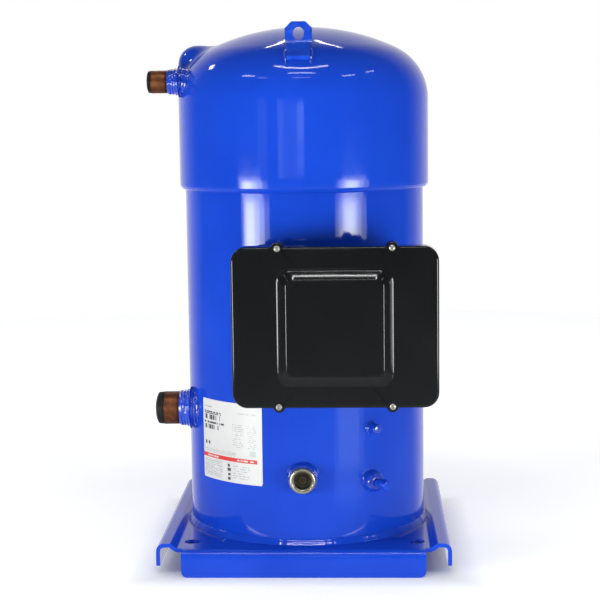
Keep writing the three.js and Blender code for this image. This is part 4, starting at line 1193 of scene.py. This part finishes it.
def floor():
    """A wide pale disc that the gloss paint does not mirror, as in the photograph."""
    low = cad_box[0].z - 0.05 * MM
    rings = [(FLOOR_R * (k / 24) ** 2, low) for k in range(2, 25)]
    shape = lathe([(0, low)] + rings + [(FLOOR_R, low - 4 * MM), (0, low - 4 * MM)])
    f = Finish("floor_paper", Roughness=0.9, Emission_Color=(1, 1, 1, 1))
    f.colour(f.grain(2), (0.88, 0.88, 0.885), (0.91, 0.91, 0.91))
    reach = f.node("ShaderNodeVectorMath", {0: f.coords.outputs["Object"]}, operation="ABSOLUTE")
    axes = f.node("ShaderNodeSeparateXYZ", {0: reach.outputs[0]}).outputs
    # Painted light: the floor glows though it is no lamp. The glow is nil within a square just inside the
    # plate's edge. It rises to 0.47 a few centimetres past that edge and to 0.66 far out, so the dim floor
    # round the base is a painted contact shadow.
    painted_glow_and_base_shadow = f.ramp(f.math("MAXIMUM", axes[0], axes[1]),
                  (PLATE_HALF - 0.03, 0.0), (PLATE_HALF + 0.04, 0.47), (0.95, 0.66))
    f.link("Emission Strength", painted_glow_and_base_shadow)
    disc = build("floor", shape, f.material)
    disc.visible_glossy = False


def world_light():
    """Bright behind, dim in front, pale below; the camera itself sees plain white."""
    world = bpy.data.worlds.new("studio")
    bpy.context.scene.world = world
    w = Nodes(world)
    axes = w.node("ShaderNodeSeparateXYZ", {0: w.coords.outputs["Generated"]}).outputs

    def gradient(axis, first, last):
        share = w.node("ShaderNodeMath", {0: axes[axis], 1: 0.5, 2: 0.5}, operation="MULTIPLY_ADD")
        return w.ramp(share.outputs[0], first, last)

    depth = gradient(1, (0.70, (0.10, 0.11, 0.13)), (0.92, (0.88, 0.86, 0.90)))
    below = gradient(2, (0.36, (0.52, 0.55, 0.58)), (0.475, (0.0, 0.0, 0.0)))
    around = w.blend(1, depth, below, "LIGHTEN")
    seen = w.node("ShaderNodeLightPath").outputs["Is Camera Ray"]
    backdrop = w.blend(seen, around, (1, 1, 1))
    w.tree.links.new(backdrop, w.tree.nodes["Background"].inputs[0])


def towards(azimuth, elevation):
    """Unit vector; azimuth 0 is straight in front (-Y) and grows towards +X."""
    a, e = math.radians(azimuth), math.radians(elevation)
    return Vector((math.sin(a) * math.cos(e), -math.cos(a) * math.cos(e), math.sin(e)))


def area_light(name, at, target, width, height, radiance, along=None):
    """A rectangle of even radiance facing the target, its width along the given direction."""
    light = bpy.data.lights.new(name, "AREA")
    light.shape = "RECTANGLE"
    light.size, light.size_y = width, height
    light.energy = radiance * math.pi * width * height
    obj = bpy.data.objects.new(name, light)
    back = (at - target).normalized()
    side = (along or Vector((0, 0, 1)).cross(back)).normalized()
    side = (side - back * side.dot(back)).normalized()
    turn = Matrix((side, back.cross(side), back)).transposed().to_4x4()
    obj.matrix_world = Matrix.Translation(at) @ turn
    bpy.context.scene.collection.objects.link(obj)
    return obj


def softbox(name, first, last, low, high, radiance, tint=(1, 1, 1)):
    """Upright panel between two azimuths on a ring about the object."""
    middle = Vector((0, 0, (low + high) / 2))
    at = towards((first + last) / 2, 0) * SOFTBOX_RING + middle
    width = 2 * SOFTBOX_RING * math.tan(math.radians((last - first) / 2))
    area_light(name, at, middle, width, high - low, radiance).data.color = tint


def tube_light(name, first, last, thickness, radiance, distance=3.0):
    """A straight ceiling lamp between two directions as seen from the dome."""
    centre = Vector((0, 0, CAP_TOP - 40 * MM))
    a, b = centre + towards(*first) * distance, centre + towards(*last) * distance
    area_light(name, (a + b) / 2, centre, (b - a).length, thickness, radiance, b - a)


def camera():
    down, roll, yaw = (math.radians(angle) for angle in (6.868, 0.717, 2.323))
    data = bpy.data.cameras.new("camera")
    data.sensor_width = 36
    data.lens = 92.2
    data.clip_start, data.clip_end = 0.05, 60
    obj = bpy.data.objects.new("camera", data)
    obj.location = (0.0769, -2.0047, 0.5332)
    obj.rotation_euler = (math.pi / 2 - down, roll, yaw)
    bpy.context.scene.collection.objects.link(obj)
    bpy.context.scene.camera = obj


floor()
world_light()
keys = [("left", 1.08, [(-57.4, -29.7, 3.0), (-55.2, -34.4, 6.5), (-53.9, -39.2, 6.5), (-52.0, -44.0, 7.5)]),
        ("right", 1.03, [(29.9, 60.2, 3.2), (33.1, 55.0, 4.8), (36.4, 50.9, 6.6), (39.0, 47.9, 6.2)])]
for side, gain, nested in keys:
    for letter, (first, last, radiance) in zip("abcd", nested):
        softbox(f"key_{side}_{letter}", first, last, 0, KEY_TOP, radiance * gain, KEY_TINT)
softbox("key_left_tail", -57, -36, KEY_TOP, 0.396, 6.0)
softbox("key_right_tail", 35, 57, KEY_TOP, 0.394, 4.0)
for name, *panel in (("low_right_wide", 27, 56, -0.32, -0.06, 0.7),
                     ("low_right_middle", 31, 51, -0.24, -0.06, 1.1),
                     ("low_right_upper", 35, 47, -0.17, -0.06, 2.2),
                     ("window", -20, 2.4, 0.38, 0.58, 0.7),
                     ("window_left_bar", -19.6, -15, 0.38, 0.59, 0.7),
                     ("window_right_bar", -3.2, 2.4, 0.47, 0.57, 2.0),
                     ("window_right_foot", -3.2, 2.4, 0.42, 0.44, 2.0),
                     ("window_far_left", -38, -29, 0.40, 0.60, 0.55),
                     ("window_far_left_top", -37, -30, 0.53, 0.60, 0.9)):
    softbox(name, *panel, SKY)
tube_light("ceiling_back_left", (-156, 56), (-173, 42.6), 0.05, 16)
tube_light("ceiling_back_right", (156, 58), (178, 44), 0.05, 16)
smile = [(-40, 60.3), (-20, 58.6), (0, 57.6), (19, 58.8), (39, 60.6)]
for number, (first, last) in enumerate(zip(smile, smile[1:])):
    tube_light(f"ceiling_front_{number}", first, last, 0.11, 28)
for name, first, last, radiance in (("ceiling_low", (-14.5, 46.8), (15.3, 46.8), 16),
                                    ("ceiling_lower", (-9, 38), (10, 38), 4),
                                    ("spot_left", (-63, 37.5), (-50, 38.5), 18),
                                    ("spot_left_inner", (-44, 36), (-35, 36.5), 5),
                                    ("spot_right", (44, 38), (57, 38), 13),
                                    ("spot_far_right", (73, 39.5), (85, 39.5), 8)):
    tube_light(name, first, last, 0.10, radiance)
tube_light("spot_far_left", (-121, 36), (-115, 33), 0.20, 20)
camera()
bpy.context.scene.view_settings.view_transform = "Standard"

bpy.context.view_layer.update()
